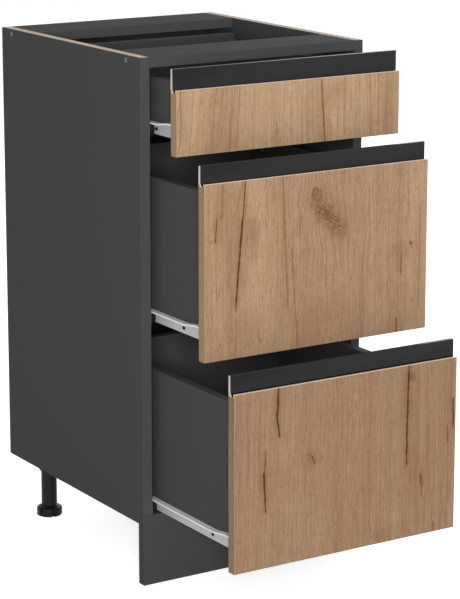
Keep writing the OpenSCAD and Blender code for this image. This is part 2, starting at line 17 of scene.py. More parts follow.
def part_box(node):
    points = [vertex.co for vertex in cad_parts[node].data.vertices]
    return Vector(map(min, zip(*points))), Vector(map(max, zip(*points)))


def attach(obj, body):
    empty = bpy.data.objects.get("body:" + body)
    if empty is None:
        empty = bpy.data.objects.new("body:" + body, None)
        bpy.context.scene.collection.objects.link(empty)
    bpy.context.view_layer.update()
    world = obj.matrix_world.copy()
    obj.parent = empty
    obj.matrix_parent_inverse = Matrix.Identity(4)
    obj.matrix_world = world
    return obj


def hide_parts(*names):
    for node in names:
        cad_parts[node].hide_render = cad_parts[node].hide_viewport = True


bl_info = {
    "name": "Kitchen drawer cabinet",
    "version": (1, 0, 0),
    "blender": (4, 5, 0),
    "location": "View3D > Sidebar > Cabinet",
    "description": "Boards, oak fronts, runners, fasteners and legs of a kitchen base cabinet",
    "category": "Object",
}

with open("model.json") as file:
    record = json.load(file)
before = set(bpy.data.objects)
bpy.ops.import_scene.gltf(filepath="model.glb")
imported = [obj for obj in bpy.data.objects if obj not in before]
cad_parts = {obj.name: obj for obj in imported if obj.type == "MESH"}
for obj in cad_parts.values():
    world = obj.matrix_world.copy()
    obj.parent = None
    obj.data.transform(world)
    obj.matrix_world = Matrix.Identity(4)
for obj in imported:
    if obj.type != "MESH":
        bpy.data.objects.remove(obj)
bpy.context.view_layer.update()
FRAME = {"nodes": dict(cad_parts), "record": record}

DRAWERS = ("top", "middle", "lower")
SIDES = ("left", "right")
BODIES = FRAME["record"]["behaviour"]["bodies"]
BODY_OF = {node: body for body, nodes in BODIES.items() for node in nodes}

X, Y, Z = range(3)
# Corners closer than this are one corner, and faces this close to a plane lie in it
MERGE = 1e-5
# Faces that meet at less than this are one flat face, and at more than the second angle they make an arris
FLAT_ANGLE = math.radians(0.2)
SHARP = math.radians(40)
# How much of a face's normal lies along an axis that it looks along
LOOKS_ALONG = 0.999
# The same for a runner's outer lip, its top flange, and the rounded top of a front's lip, which are the faces
# that get a painted highlight
RUNNER_LIP = 0.99
FLANGE_UP = 0.7
LIP_UP = 0.2
# Shortest edges that are rounded on boards, on steel and on small parts
BOARD_EDGE = 0.012
STEEL_EDGE = 0.001
SMALL_EDGE = 0.0005
# Largest area of one facet in the wall of a hole through the steel
HOLE_WALL = 2e-6


def linear(code):
    """A colour written as #rrggbb, as the linear values that Blender's sockets take."""
    parts = [int(code[i:i + 2], 16) / 255 for i in (1, 3, 5)]
    return tuple(c / 12.92 if c <= 0.04045 else ((c + 0.055) / 1.055) ** 2.4 for c in parts)


def opaque(tint, share=1.0):
    """The colour, or a darker share of it, as the four values that a colour socket takes."""
    return (*(c * share for c in tint[:3]), 1.0)


def colour(name, code, description):
    return FloatVectorProperty(
        name=name, description=description, subtype="COLOR", size=3, min=0, max=1, default=linear(code)
    )


def length(name, value, description):
    return FloatProperty(name=name, description=description, unit="LENGTH", precision=5, min=0, default=value)


def amount(name, value, description, subtype="NONE"):
    return FloatProperty(name=name, description=description, subtype=subtype, default=value)


# Settings that a user would change


class CabinetBoards(bpy.types.PropertyGroup):
    """Colours and arrises of the boards"""

    laminate: colour("Laminate", "#474748", "Anthracite laminate of the carcass and drawer boards")
    edge_band: colour("Edge band", "#4b4b4b", "Plastic edging on the boards' seen edges")
    chipboard: colour("Chipboard", "#c4b4a3", "Raw edges of the boards")
    chipboard_dark: colour("Dark chips", "#8f7d6b", "Darkest chips of the raw edges")
    fibreboard: colour("Fibreboard", "#6f533b", "Raw outside of the thin back and drawer bottoms")
    arris: length("Arris", 0.0009, "Rounding of the boards' edges")
    thin_arris: length("Thin arris", 0.0003, "Rounding of the thin boards' edges")


class CabinetFronts(bpy.types.PropertyGroup):
    """Colours and arrises of the drawer fronts"""

    oak_light: colour("Light oak", "#b8997a", "Lightest bands of the oak figure")
    oak_mid: colour("Oak", "#a58568", "Main tone of the oak figure")
    oak_rosy: colour("Rosy oak", "#9c7a60", "Reddish bands of the oak figure")
    oak_dark: colour("Dark oak", "#7a5232", "Darkest streaks of the oak figure")
    crack: colour("Crack", "#3e1f06", "Middle of the cracks")
    crack_edge: colour("Crack edge", "#7b5230", "Brown beside the cracks")
    knot: colour("Knot", "#654425", "Strokes and rings of the knots")
    # Darkens the lower fronts: partly their own tone and partly painted shade of the light falling off
    # downwards
    deep_tone_and_shade: colour("Deep tone and shade", "#6a5138", "What the darker fronts are toned with")
    edge: colour("Front edging", "#8e6c49", "Edging on the sides and foot of the fronts")
    arris_tone: colour("Front arris tone", "#a5835f", "Rounding round the front face")
    # The lip's own pale end and top, also used as a painted highlight on the upward-facing rounding of a
    # front's top edge
    pale: colour("Pale lip", "#d8cabb", "Top and end of the front lip")
    grip: colour("Grip", "#29292a", "Smooth dark grip band behind the front lip")
    # Painted shade: the inside of the grip groove in near black where the grip band lies in shadow
    groove: colour("Groove", "#0d0a08", "Inside of the grip groove")
    lip_skin: length("Lip skin", 0.0018, "Dark skin on the front of the grip lip")
    arris: length("Front arris", 0.0007, "Rounding round the front face")
    small_arris: length("Small arris", 0.0004, "Rounding of the other edges")


class CabinetHardware(bpy.types.PropertyGroup):
    """Colours and roundings of the steel and plastic parts"""

    epoxy: colour("Epoxy coat", "#acacab", "Light grey coat of the runners")
    # A lighter copy of the epoxy coat: painted highlight on the runners' top flanges and outer lips
    highlight_epoxy: colour("Bright coat", "#dededd", "Coat on the runners' top flanges and lips")
    zinc: colour("Zinc", "#b9babb", "Bright zinc of screws and cams")
    dull_steel: colour("Dull steel", "#7b7d80", "Heads of the rail screws")
    plastic: colour("Black plastic", "#121213", "Legs and feet")
    # Real nylon of the rollers, also used as painted shade on the walls of drilled holes, pockets and grooves
    nylon: colour("Nylon", "#1a1a1b", "Rollers and the inside of drilled holes")
    beech: colour("Beech", "#c8a173", "Dowels")
    steel_arris: length("Steel arris", 0.0003, "Rounding of the runner steel")
    leg_arris: length("Leg arris", 0.0008, "Rounding of the leg sockets and tubes")
    roller_arris: length("Roller arris", 0.0005, "Rounding of the rollers")
    dowel_arris: length("Dowel arris", 0.0008, "Rounding of the dowels' ends")
    round_steps: IntProperty(name="Round steps", description="Faces round a fastener", default=24, min=12)


class CabinetStage(bpy.types.PropertyGroup):
    """Floor, light and camera"""

    floor_size: length("Floor size", 14.0, "Side of the square floor")
    floor_tone: colour("Floor", "#e9e9e9", "Tone of the floor under the light")
    floor_lift: amount("Floor lift", 0.72, "Light added to the seen floor")
    ambient: amount("Ambient", 0.40, "Strength of the white surroundings")
    key_power: amount("Key lamp", 146.0, "Lamp behind the camera", "POWER")
    top_power: amount("Top lamp", 11.0, "Overhead lamp", "POWER")
    back_power: amount("Back lamp", 70.0, "Lamp behind the cabinet", "POWER")
    camera_place: FloatVectorProperty(
        name="Camera place", description="Where the camera stands", subtype="TRANSLATION", size=3,
        default=(-1.90688, -3.04067, 1.27260),
    )
    camera_turn: amount("Camera turn", math.radians(32.24234), "Turn to the right from +Y", "ANGLE")
    camera_dip: amount("Camera dip", math.radians(11.86999), "Tilt below the horizon", "ANGLE")
    lens: amount("Lens", 140.5117, "Focal length", "DISTANCE_CAMERA")
    shift_x: amount("Shift across", 0.0051, "Sideways lens shift")
    shift_y: amount("Shift up", -0.115, "Upwards lens shift")


# Node trees


class Wiring:
    """Adds nodes to one tree. An input takes a plain value or another node's output."""

    def __init__(self, tree):
        self.tree = tree

    def link(self, source, target):
        self.tree.links.new(source, target)

    def feed(self, node, inputs):
        """Sets or links a node's inputs; an underscore in a name stands for a space."""
        for key, value in inputs.items():
            socket = node.inputs[key.replace("_", " ") if isinstance(key, str) else key]
            if isinstance(value, bpy.types.NodeSocket):
                self.link(value, socket)
            else:
                socket.default_value = value

    def add(self, kind, inputs=None, **settings):
        node = self.tree.nodes.new(kind)
        for name, value in settings.items():
            setattr(node, name, value)
        self.feed(node, inputs or {})
        return node

    def place(self, name, **inputs):
        """Places a node group and returns its outputs."""
        node = self.add("ShaderNodeGroup", node_tree=bpy.data.node_groups[name])
        self.feed(node, inputs)
        return node.outputs

    def number(self, operation, a, b=0.0, c=0.0, clamp=False):
        node = self.add("ShaderNodeMath", {0: a, 1: b, 2: c}, operation=operation, use_clamp=clamp)
        return node.outputs[0]

    def plus(self, a, b):
        return self.number("ADD", a, b)

    def minus(self, a, b, clamp=False):
        return self.number("SUBTRACT", a, b, clamp=clamp)

    def times(self, a, b, clamp=False):
        return self.number("MULTIPLY", a, b, clamp=clamp)

    def over(self, a, b, clamp=False):
        return self.number("DIVIDE", a, b, clamp=clamp)

    def times_plus(self, a, b, c):
        return self.number("MULTIPLY_ADD", a, b, c)

    def larger(self, a, b):
        return self.number("MAXIMUM", a, b)

    def absolute(self, a):
        return self.number("ABSOLUTE", a)

    def distance(self, x, y):
        """How far the point (x, y) is from the origin."""
        return self.number("SQRT", self.plus(self.times(x, x), self.times(y, y)))

    def vector(self, operation, a, b):
        return self.add("ShaderNodeVectorMath", {0: a, 1: b}, operation=operation).outputs[0]

    def scaled(self, vector, rate):
        return self.add("ShaderNodeVectorMath", {0: vector, "Scale": rate}, operation="SCALE").outputs[0]

    def parts(self, vector):
        return self.add("ShaderNodeSeparateXYZ", {0: vector}).outputs[:3]

    def joined(self, x=0.0, y=0.0, z=0.0):
        return self.add("ShaderNodeCombineXYZ", {0: x, 1: y, 2: z}).outputs[0]

    def mix(self, factor, a, b):
        return self.add("ShaderNodeMix", {0: factor, 6: a, 7: b}, data_type="RGBA").outputs[2]

    def smooth(self, value, low, high, to_low=0.0, to_high=1.0):
        """The value eased from to_low to to_high as it goes from low to high."""
        inputs = {"Value": value, "From Min": low, "From Max": high, "To Min": to_low, "To Max": to_high}
        return self.add("ShaderNodeMapRange", inputs, interpolation_type="SMOOTHSTEP").outputs[0]

    def noise(self, vector, rates=None, detail=2.0, roughness=0.5, output=0):
        """Noise with these rates along the axes: its value, or with output=1 its colour."""
        if rates:
            vector = self.vector("MULTIPLY", vector, rates)
        inputs = {"Vector": vector, "Scale": 1.0, "Detail": detail, "Roughness": roughness}
        return self.add("ShaderNodeTexNoise", inputs).outputs[output]


class Finish(Wiring):
    """A new node material with its Principled shader and its object coordinates"""

    def __init__(self, name):
        self.material = bpy.data.materials.new(name)
        self.material.use_nodes = True
        super().__init__(self.material.node_tree)
        self.tree.nodes.clear()
        self.shader = self.add("ShaderNodeBsdfPrincipled")
        self.output = self.add("ShaderNodeOutputMaterial", {"Surface": self.shader.outputs[0]})
        self.here = self.add("ShaderNodeTexCoord").outputs["Object"]

    def shade(self, **inputs):
        """Sets or links inputs of the shader."""
        self.feed(self.shader, inputs)

    def emboss(self, height, strength, depth):
        """Feeds a Bump node into the shader's Normal."""
        node = self.add("ShaderNodeBump", {"Height": height, "Strength": strength, "Distance": depth})
        self.shade(Normal=node.outputs[0])


NUMBER, VECTOR, COLOUR = "NodeSocketFloat", "NodeSocketVector", "NodeSocketColor"
GEOMETRY, MATERIAL = "NodeSocketGeometry", "NodeSocketMaterial"
KIND_OF_DEFAULT = {float: NUMBER, int: "NodeSocketInt", bool: "NodeSocketBool", tuple: COLOUR}


def node_group(tree_kind, name, inputs, outputs):
    """A node group with named sockets. Each input has its default, or its kind where it needs none."""
    tree = bpy.data.node_groups.new(name, tree_kind)
    for label, given in inputs.items():
        kind = KIND_OF_DEFAULT.get(type(given), given)
        socket = tree.interface.new_socket(label, in_out="INPUT", socket_type=kind)
        if kind != given:
            socket.default_value = given
    for label, kind in outputs.items():
        tree.interface.new_socket(label, in_out="OUTPUT", socket_type=kind)
    w = Wiring(tree)
    return w, w.add("NodeGroupInput").outputs, w.add("NodeGroupOutput").inputs


def shader_group(name, inputs, outputs):
    return node_group("ShaderNodeTree", name, {"Vector": VECTOR, **inputs}, outputs)


def geometry_group(name, inputs):
    inputs = {"Geometry": GEOMETRY, **inputs, "Material": MATERIAL}
    return node_group("GeometryNodeTree", name, inputs, {"Geometry": GEOMETRY})


def build_surface_texture():
    """A fine pressed texture for laminate, coatings and moulded plastic."""
    w, given, out = shader_group("Surface texture", {
        "Colour": (0.5, 0.5, 0.5, 1), "Grain Size": 0.001, "Tone Change": 0.04, "Roughness": 0.5,
        "Roughness Change": 0.05,
    }, {"Colour": COLOUR, "Roughness": NUMBER, "Height": NUMBER})
    fine = w.noise(w.scaled(given["Vector"], w.over(1.0, given["Grain Size"])), detail=3.0)
    cloud = w.noise(given["Vector"], (7.0, 7.0, 7.0))
    swing = w.minus(w.plus(fine, cloud), 1.0)
    tone = w.times_plus(swing, given["Tone Change"], 1.0)
    w.link(w.vector("MULTIPLY", given["Colour"], w.joined(tone, tone, tone)), out["Colour"])
    w.link(w.times_plus(swing, given["Roughness Change"], given["Roughness"]), out["Roughness"])
    w.link(fine, out["Height"])


def build_chips():
    """Pressed chips or fibres: flakes of mixed tone, long in the board's plane."""
    w, given, out = shader_group("Pressed chips", {
        "Light": (0.5, 0.4, 0.3, 1), "Dark": (0.2, 0.1, 0.1, 1), "Flake Size": 0.0016, "Contrast": 0.7,
    }, {"Colour": COLOUR, "Height": NUMBER})
    edge_drift = 0.0012
    flake_shape = (1.0, 0.45, 0.8)
    few_dark, flake_share, dust_share = 2.2, 0.75, 0.3
    drift = w.noise(given["Vector"], (240.0, 240.0, 240.0), output=1)
    bent = w.vector("ADD", given["Vector"], w.vector("MULTIPLY", drift, (edge_drift,) * 3))
    scaled = w.scaled(bent, w.over(1.0, given["Flake Size"]))
    flat = w.vector("MULTIPLY", scaled, flake_shape)
    cells = w.add("ShaderNodeTexVoronoi", {"Vector": flat, "Scale": 1.0})
    tone = w.parts(cells.outputs["Color"])[0]
    dust = w.noise(scaled, (3.0, 3.0, 3.0))
    shade = w.times_plus(w.number("POWER", tone, few_dark), flake_share, w.times(dust, dust_share))
    share = w.times(shade, given["Contrast"], clamp=True)
    w.link(w.mix(share, given["Light"], given["Dark"]), out["Colour"])
    w.link(w.minus(tone, dust), out["Height"])


def build_oak_figure():
    """Straight oak figure along Z: broad bands, rosy bands, streaks, fine lines and open pores."""
    w, given, out = shader_group("Oak figure", {
        "Light": (0.6, 0.5, 0.4, 1), "Mid": (0.5, 0.4, 0.3, 1), "Rosy": (0.4, 0.2, 0.2, 1),
        "Dark": (0.3, 0.2, 0.1, 1), "Band Bias": 0.5, "Wave": 0.006,
    }, {"Colour": COLOUR, "Height": NUMBER, "Streaks": NUMBER})
    slow_sway = 4.0
    band_ease = 0.18
    light_from, light_to = 0.46, 0.28
    slow = w.noise(given["Vector"], (7.0, 7.0, 2.2))
    quick = w.noise(given["Vector"], (50.0, 50.0, 16.0))
    sway = w.times_plus(w.minus(slow, 0.5), slow_sway, w.minus(quick, 0.5))
    bent = w.vector("ADD", given["Vector"], w.joined(w.times(sway, given["Wave"])))
    bands = w.noise(bent, (16.0, 16.0, 1.1))
    blush = w.noise(bent, (8.0, 10.0, 3.5))
    streaks = w.noise(bent, (90.0, 90.0, 2.6), detail=3.0, roughness=0.6)
    lines = w.noise(bent, (280.0, 280.0, 3.4), roughness=0.6)
    grain = w.noise(bent, (460.0, 460.0, 40.0), roughness=0.65)
    ripple = w.noise(bent, (130.0, 130.0, 380.0), detail=1.0)
    pores = w.noise(bent, (900.0, 900.0, 110.0), detail=1.0)
    lift = w.smooth(bands, w.minus(given["Band Bias"], band_ease), w.plus(given["Band Bias"], band_ease))
    tint = w.mix(lift, given["Mid"], given["Light"])
    tint = w.mix(w.smooth(blush, 0.45, 0.7, 0.0, 0.5), tint, given["Rosy"])
    for source, dark_from, dark_to, dark_share, light_share in (
        (streaks, 0.50, 0.72, 0.18, 0.18),
        (lines, 0.48, 0.68, 0.34, 0.34),
        (grain, 0.48, 0.68, 0.32, 0.34),
        (ripple, 0.50, 0.70, 0.12, 0.13),
    ):
        tint = w.mix(w.smooth(source, dark_from, dark_to, 0.0, dark_share), tint, given["Dark"])
        tint = w.mix(w.smooth(source, light_from, light_to, 0.0, light_share), tint, given["Light"])
    hole = w.smooth(pores, 0.58, 0.70)
    w.link(w.mix(w.times(hole, 0.5), tint, given["Dark"]), out["Colour"])
    depth = w.plus(w.smooth(grain, 0.48, 0.68, 0.0, 0.5), hole)
    w.link(w.minus(1.0, depth), out["Height"])
    w.link(streaks, out["Streaks"])


def build_crack():
    """A thin crack that runs from a top point to a foot point and wanders a little on the way."""
    w, given, out = shader_group("Crack", {
        "Top X": 0.0, "Top Z": 1.0, "Foot X": 0.0, "Foot Z": 0.0, "Half Width": 0.001, "Strength": 1.0,
        "Wander": 0.003,
    }, {"Mask": NUMBER, "Halo": NUMBER})
    foot_fade, top_fade = 0.14, 0.88
    halo_width = 5.0
    x, _, z = w.parts(given["Vector"])
    span = w.minus(given["Top Z"], given["Foot Z"])
    along = w.over(w.minus(z, given["Foot Z"]), span)
    middle = w.times_plus(along, w.minus(given["Top X"], given["Foot X"]), given["Foot X"])
    seed = w.joined(w.times(given["Top X"], 91.0), 0.0, w.times(z, 45.0))
    drift = w.noise(seed, detail=3.0, roughness=0.6)
    wander = w.times(w.minus(drift, 0.5), given["Wander"])
    aside = w.absolute(w.minus(x, w.plus(middle, wander)))
    swell = w.noise(seed, (1.0, 1.0, 1.7), roughness=0.7)
    width = w.times(given["Half Width"], w.smooth(swell, 0.3, 0.65, 0.7, 1.7))
    close = w.smooth(aside, 0.0, width, 1.0, 0.0)
    inside = w.times(w.smooth(along, 0.0, foot_fade), w.smooth(along, 1.0, top_fade))
    w.link(w.times(w.times(close, inside), given["Strength"]), out["Mask"])
    near = w.smooth(aside, 0.0, w.times(width, halo_width), 1.0, 0.0)
    w.link(w.times(w.times(near, inside), given["Strength"]), out["Halo"])


def build_knot():
    """A knot: it pushes the grain aside and carries dark flecks round a darker eye."""
    w, given, out = shader_group("Knot", {
        "Middle": VECTOR, "Half Width": 0.01, "Half Height": 0.02, "Lean": 0.0, "Push": 0.01,
        "Ring Share": 0.0,
    }, {"Shade": NUMBER, "Flecks": NUMBER, "Aside": VECTOR})
    ring_at, ring_width = 0.75, 0.3
    stroke_from, stroke_to = 0.50, 0.61
    push_reach = 3.2
    local = w.vector("SUBTRACT", given["Vector"], given["Middle"])
    inputs = {"Vector": local, "Angle": given["Lean"]}
    turned = w.add("ShaderNodeVectorRotate", inputs, rotation_type="Y_AXIS").outputs[0]
    x, _, z = w.parts(turned)
    across = w.over(x, given["Half Width"])
    far = w.distance(across, w.over(z, given["Half Height"]))
    rough = w.noise(given["Vector"], (260.0, 260.0, 190.0), detail=3.0, roughness=0.7)
    edge = w.times_plus(w.minus(rough, 0.5), 0.7, far)
    w.link(w.smooth(edge, 1.5, 0.1), out["Shade"])
    ring = w.smooth(w.absolute(w.minus(edge, ring_at)), 0.0, ring_width, 1.0, 0.0)
    own = w.vector("ADD", turned, given["Middle"])
    along = w.noise(own, (620.0, 620.0, 210.0), roughness=0.6)
    crosswise = w.noise(own, (210.0, 620.0, 620.0), roughness=0.6)
    strokes = w.smooth(w.larger(along, crosswise), stroke_from, stroke_to)
    mixed = w.add("ShaderNodeMix", {0: given["Ring Share"], 2: strokes, 3: ring}, data_type="FLOAT")
    w.link(w.times(w.smooth(edge, 1.3, 0.4), mixed.outputs[0]), out["Flecks"])
    turn = w.times(w.over(across, w.plus(far, 0.6)), w.smooth(far, push_reach, 0.4))
    w.link(w.joined(w.times(turn, w.times(given["Push"], -1.0))), out["Aside"])


def build_soft_spot():
    """A soft darker place in the figure, with an edge roughened by the given noise."""
    w, given, out = shader_group("Soft spot", {
        "Noise": 0.5, "Middle X": 0.0, "Middle Z": 0.0, "Half Width": 0.01, "Half Height": 0.02,
        "Strength": 0.5,
    }, {"Mask": NUMBER})
    x, _, z = w.parts(given["Vector"])
    across = w.over(w.minus(x, given["Middle X"]), given["Half Width"])
    up = w.over(w.minus(z, given["Middle Z"]), given["Half Height"])
    edge = w.times_plus(w.minus(given["Noise"], 0.5), 1.4, w.distance(across, up))
    w.link(w.times(w.smooth(edge, 1.5, 0.1), given["Strength"]), out["Mask"])


# Finishes


class Texture(NamedTuple):
    """A pressed surface: the size of its grain, the changes over it, its relief, gloss and metal"""

    grain: float
    tone_change: float
    roughness: float
    roughness_change: float
    relief: float
    gloss: float = 0.5
    metal: float = 0.0


# Textured finishes as (key, name, settings, colour, texture)
TEXTURED = (
    ("laminate", "Anthracite laminate", "cabinet_boards", "laminate",
     Texture(0.0009, 0.05, 0.75, 0.07, 0.00003, gloss=0.01)),
    ("band", "Anthracite edging", "cabinet_boards", "edge_band",
     Texture(0.0012, 0.04, 0.65, 0.05, 0.00002, gloss=0.02)),
    ("grip", "Dark grip band", "cabinet_fronts", "grip",
     Texture(0.0015, 0.04, 0.5, 0.05, 0.00002, gloss=0.12)),
    # The groove finish is painted shade inside the grip groove
    ("groove", "Grip groove", "cabinet_fronts", "groove",
     Texture(0.0015, 0.04, 0.7, 0.05, 0.00002, gloss=0.02)),
    ("epoxy", "Epoxy coated steel", "cabinet_hardware", "epoxy", Texture(0.0018, 0.05, 0.36, 0.08, 0.00003)),
    # The lighter coat is a painted highlight for the runners' top flanges and lips
    ("bright", "Bright coated steel", "cabinet_hardware", "highlight_epoxy",
     Texture(0.0018, 0.04, 0.36, 0.08, 0.00003)),
    ("zinc", "Zinc plated steel", "cabinet_hardware", "zinc",
     Texture(0.0007, 0.10, 0.30, 0.10, 0.00002, metal=1.0)),
    ("steel", "Passivated steel", "cabinet_hardware", "dull_steel",
     Texture(0.0007, 0.10, 0.38, 0.10, 0.00002, metal=1.0)),
    ("plastic", "Black moulded plastic", "cabinet_hardware", "plastic",
     Texture(0.0008, 0.10, 0.45, 0.08, 0.00004, gloss=0.15)),
    # Nylon of the rollers, also painted shade inside drilled holes
    ("nylon", "Nylon", "cabinet_hardware", "nylon", Texture(0.0012, 0.06, 0.4, 0.06, 0.00002, gloss=0.2)),
)
FLOOR_TEXTURE = Texture(0.004, 0.01, 0.9, 0.03, 0.0, gloss=0.0)
# Strengths of the relief
TEXTURE_BUMP = 0.35
CHIP_BUMP = 0.5
FACE_BUMP = 0.3
EDGING_BUMP = 0.2
# How dark a fibreboard's darkest fibres are
FIBRE_SHADE = 0.6


def lay_texture(w, tint, texture):
    """Gives a finish its colour and roughness from the surface texture, and returns the texture's height."""
    laid = w.place(
        "Surface texture", Vector=w.here, Colour=opaque(tint), Grain_Size=texture.grain,
        Tone_Change=texture.tone_change, Roughness=texture.roughness,
        Roughness_Change=texture.roughness_change,
    )
    w.shade(
        Base_Color=laid["Colour"], Roughness=laid["Roughness"], Metallic=texture.metal,
        Specular_IOR_Level=texture.gloss,
    )
    return laid["Height"]


def textured(name, tint, texture):
    """Laminate, coating, plastic or metal with a fine pressed texture."""
    w = Finish(name)
    w.emboss(lay_texture(w, tint, texture), TEXTURE_BUMP, texture.relief)
    return w.material


def pressed(name, light, dark, flake, contrast, roughness, relief):
    """Raw chipboard or fibreboard."""
    w = Finish(name)
    chips = w.place(
        "Pressed chips", Vector=w.here, Light=light, Dark=dark, Flake_Size=flake, Contrast=contrast
    )
    w.shade(Base_Color=chips["Colour"], Roughness=roughness)
    w.emboss(chips["Height"], CHIP_BUMP, relief)
    return w.material


# Cracks of the fronts as (top x, top z, foot x, foot z, half width, strength)
CRACKS = {
    "top": (
        (0.053, 0.800, 0.062, 0.670, 0.0025, 0.45),
        (0.057, 0.750, 0.062, 0.670, 0.0022, 0.50),
        (-0.097, 0.792, -0.108, 0.676, 0.0021, 0.24),
        (-0.088, 0.792, -0.098, 0.676, 0.0018, 0.22),
        (0.143, 0.792, 0.145, 0.670, 0.0023, 0.28),
        (0.161, 0.792, 0.157, 0.670, 0.0021, 0.22),
        (-0.190, 0.792, -0.192, 0.690, 0.0018, 0.35),
        (-0.026, 0.725, -0.022, 0.670, 0.0018, 0.30),
    ),
    "middle": (
        (-0.128, 0.664, -0.136, 0.555, 0.0018, 0.75),
        (-0.133, 0.610, -0.146, 0.458, 0.0020, 1.10),
        (-0.131, 0.660, -0.147, 0.600, 0.0021, 0.30),
        (-0.166, 0.664, -0.169, 0.595, 0.0030, 0.35),
        (-0.177, 0.606, -0.180, 0.564, 0.0017, 0.65),
        (-0.0045, 0.606, 0.0205, 0.586, 0.0026, 0.65),
        (-0.066, 0.680, -0.053, 0.430, 0.0026, 0.36),
        (-0.050, 0.560, -0.036, 0.385, 0.0026, 0.36),
        (-0.032, 0.600, -0.035, 0.560, 0.0018, 0.35),
        (0.150, 0.520, 0.149, 0.478, 0.0018, 0.50),
        (0.1668, 0.5312, 0.1688, 0.5256, 0.0028, 0.75),
        (0.142, 0.420, 0.144, 0.380, 0.0021, 0.60),
        (0.184, 0.600, 0.184, 0.420, 0.0017, 0.35),
    ),
    "lower": (
        (-0.124, 0.376, -0.124, 0.316, 0.0020, 1.50),
        (-0.126, 0.336, -0.121, 0.288, 0.0021, 1.30),
        (-0.145, 0.280, -0.147, 0.214, 0.0017, 0.65),
        (-0.148, 0.246, -0.145, 0.176, 0.0019, 1.40),
        (-0.0735, 0.2585, -0.0640, 0.2525, 0.0032, 0.50),
        (-0.0652, 0.2545, -0.0585, 0.2395, 0.0020, 0.75),
        (0.1325, 0.1945, 0.1345, 0.1735, 0.0022, 0.85),
        (0.109, 0.382, 0.107, 0.280, 0.0020, 1.50),
        (0.107, 0.320, 0.107, 0.202, 0.0020, 1.30),
        (0.192, 0.306, 0.193, 0.250, 0.0019, 1.00),
        (0.181, 0.262, 0.183, 0.232, 0.0016, 0.60),
        (0.135, 0.204, 0.136, 0.150, 0.0016, 0.45),
        (0.118, 0.238, 0.113, 0.180, 0.0025, 0.25),
        (0.159, 0.114, 0.159, 0.090, 0.0014, 0.70),
    ),
}
# Knots of the fronts as (x, z, half width, half height, lean in degrees, push, strength, share of rings)
KNOTS = {
    "top": (),
    "middle": (
        (0.018, 0.584, 0.0165, 0.044, 46.0, 0.012, 1.00, 0.0),
        (-0.0045, 0.621, 0.0100, 0.0125, 20.0, 0.005, 1.20, 0.6),
        (0.168, 0.5285, 0.0050, 0.009, 20.0, 0.008, 0.40, 0.0),
    ),
    "lower": (
        (-0.066, 0.249, 0.0140, 0.018, -30.0, 0.010, 0.34, 0.0),
        (0.136, 0.181, 0.0065, 0.018, -8.0, 0.008, 0.45, 0.0),
        (0.114, 0.346, 0.0050, 0.008, 0.0, 0.004, 0.80, 0.0),
    ),
}
# Soft darker places as (x, z, half width, half height, strength)
SHADES = {
    "top": (
        (-0.185, 0.720, 0.010, 0.090, 0.20),
        (0.080, 0.755, 0.024, 0.024, 0.30),
        (0.178, 0.730, 0.014, 0.110, 0.26),
        (0.042, 0.720, 0.020, 0.080, 0.16),
    ),
    "middle": (
        (-0.117, 0.572, 0.016, 0.034, 0.52),
        (-0.140, 0.560, 0.018, 0.110, 0.24),
        (-0.170, 0.600, 0.012, 0.060, 0.22),
        (-0.125, 0.440, 0.030, 0.030, 0.26),
        (0.000, 0.614, 0.022, 0.022, 0.46),
        (0.016, 0.592, 0.026, 0.026, 0.40),
        (0.036, 0.566, 0.022, 0.024, 0.40),
        (0.010, 0.440, 0.060, 0.018, 0.16),
        (0.146, 0.520, 0.022, 0.014, 0.26),
        (0.186, 0.520, 0.008, 0.120, 0.16),
    ),
    "lower": (
        (-0.188, 0.220, 0.012, 0.150, 0.20),
        (-0.126, 0.330, 0.014, 0.046, 0.24),
        (-0.146, 0.225, 0.014, 0.060, 0.28),
        (-0.110, 0.220, 0.020, 0.030, 0.20),
        (0.104, 0.300, 0.012, 0.110, 0.20),
        (0.036, 0.250, 0.008, 0.160, 0.16),
        (0.130, 0.190, 0.016, 0.040, 0.26),
        (0.060, 0.108, 0.018, 0.014, 0.34),
    ),
}


class Cut(NamedTuple):
    """Where a front is cut from the oak figure, and its share of dark bands, slant, wander, deep tone and
    edging tone; the bands and tones darken the lower fronts, partly as their own tone and partly as painted
    shade
    """

    place: tuple
    dark_bands: float
    slant: float
    wander: float
    tone_and_shade_share: float
    edging_tone_and_shade: float


# The lower fronts get more dark bands, more of the deep tone and darker edging: partly their own tone and
# partly painted shade of the light falling off downwards
CUTS = {
    "top": Cut((3.1, 0.7, 0.4), 0.36, slant=0.085, wander=0.0016, tone_and_shade_share=0.0, edging_tone_and_shade=1.0),
    "middle": Cut((1.3, 0.2, 5.2), 0.52, slant=0.0, wander=0.0020, tone_and_shade_share=0.11, edging_tone_and_shade=0.97),
    "lower": Cut((7.7, 0.9, 2.6), 0.66, slant=0.0, wander=0.0050, tone_and_shade_share=0.29, edging_tone_and_shade=0.66),
}
EDGING_CUT = (4.1, 2.2, 1.7)
EDGING_SHARES = {"Light": 1.0, "Mid": 0.9, "Rosy": 0.86, "Dark": 0.68}
# Sway of the grain and depth of its relief
FACE_WAVE, FACE_RELIEF = 0.006, 0.0004
EDGING_WAVE, EDGING_RELIEF = 0.003, 0.0002
# Where along x the top front's figure starts to lean, and where it leans in full
LEAN_FROM, LEAN_TO = -0.02, -0.12
# How dark a knot and the place beside a crack get
KNOT_SHADE = 0.5
HALO_SHADE = 0.3


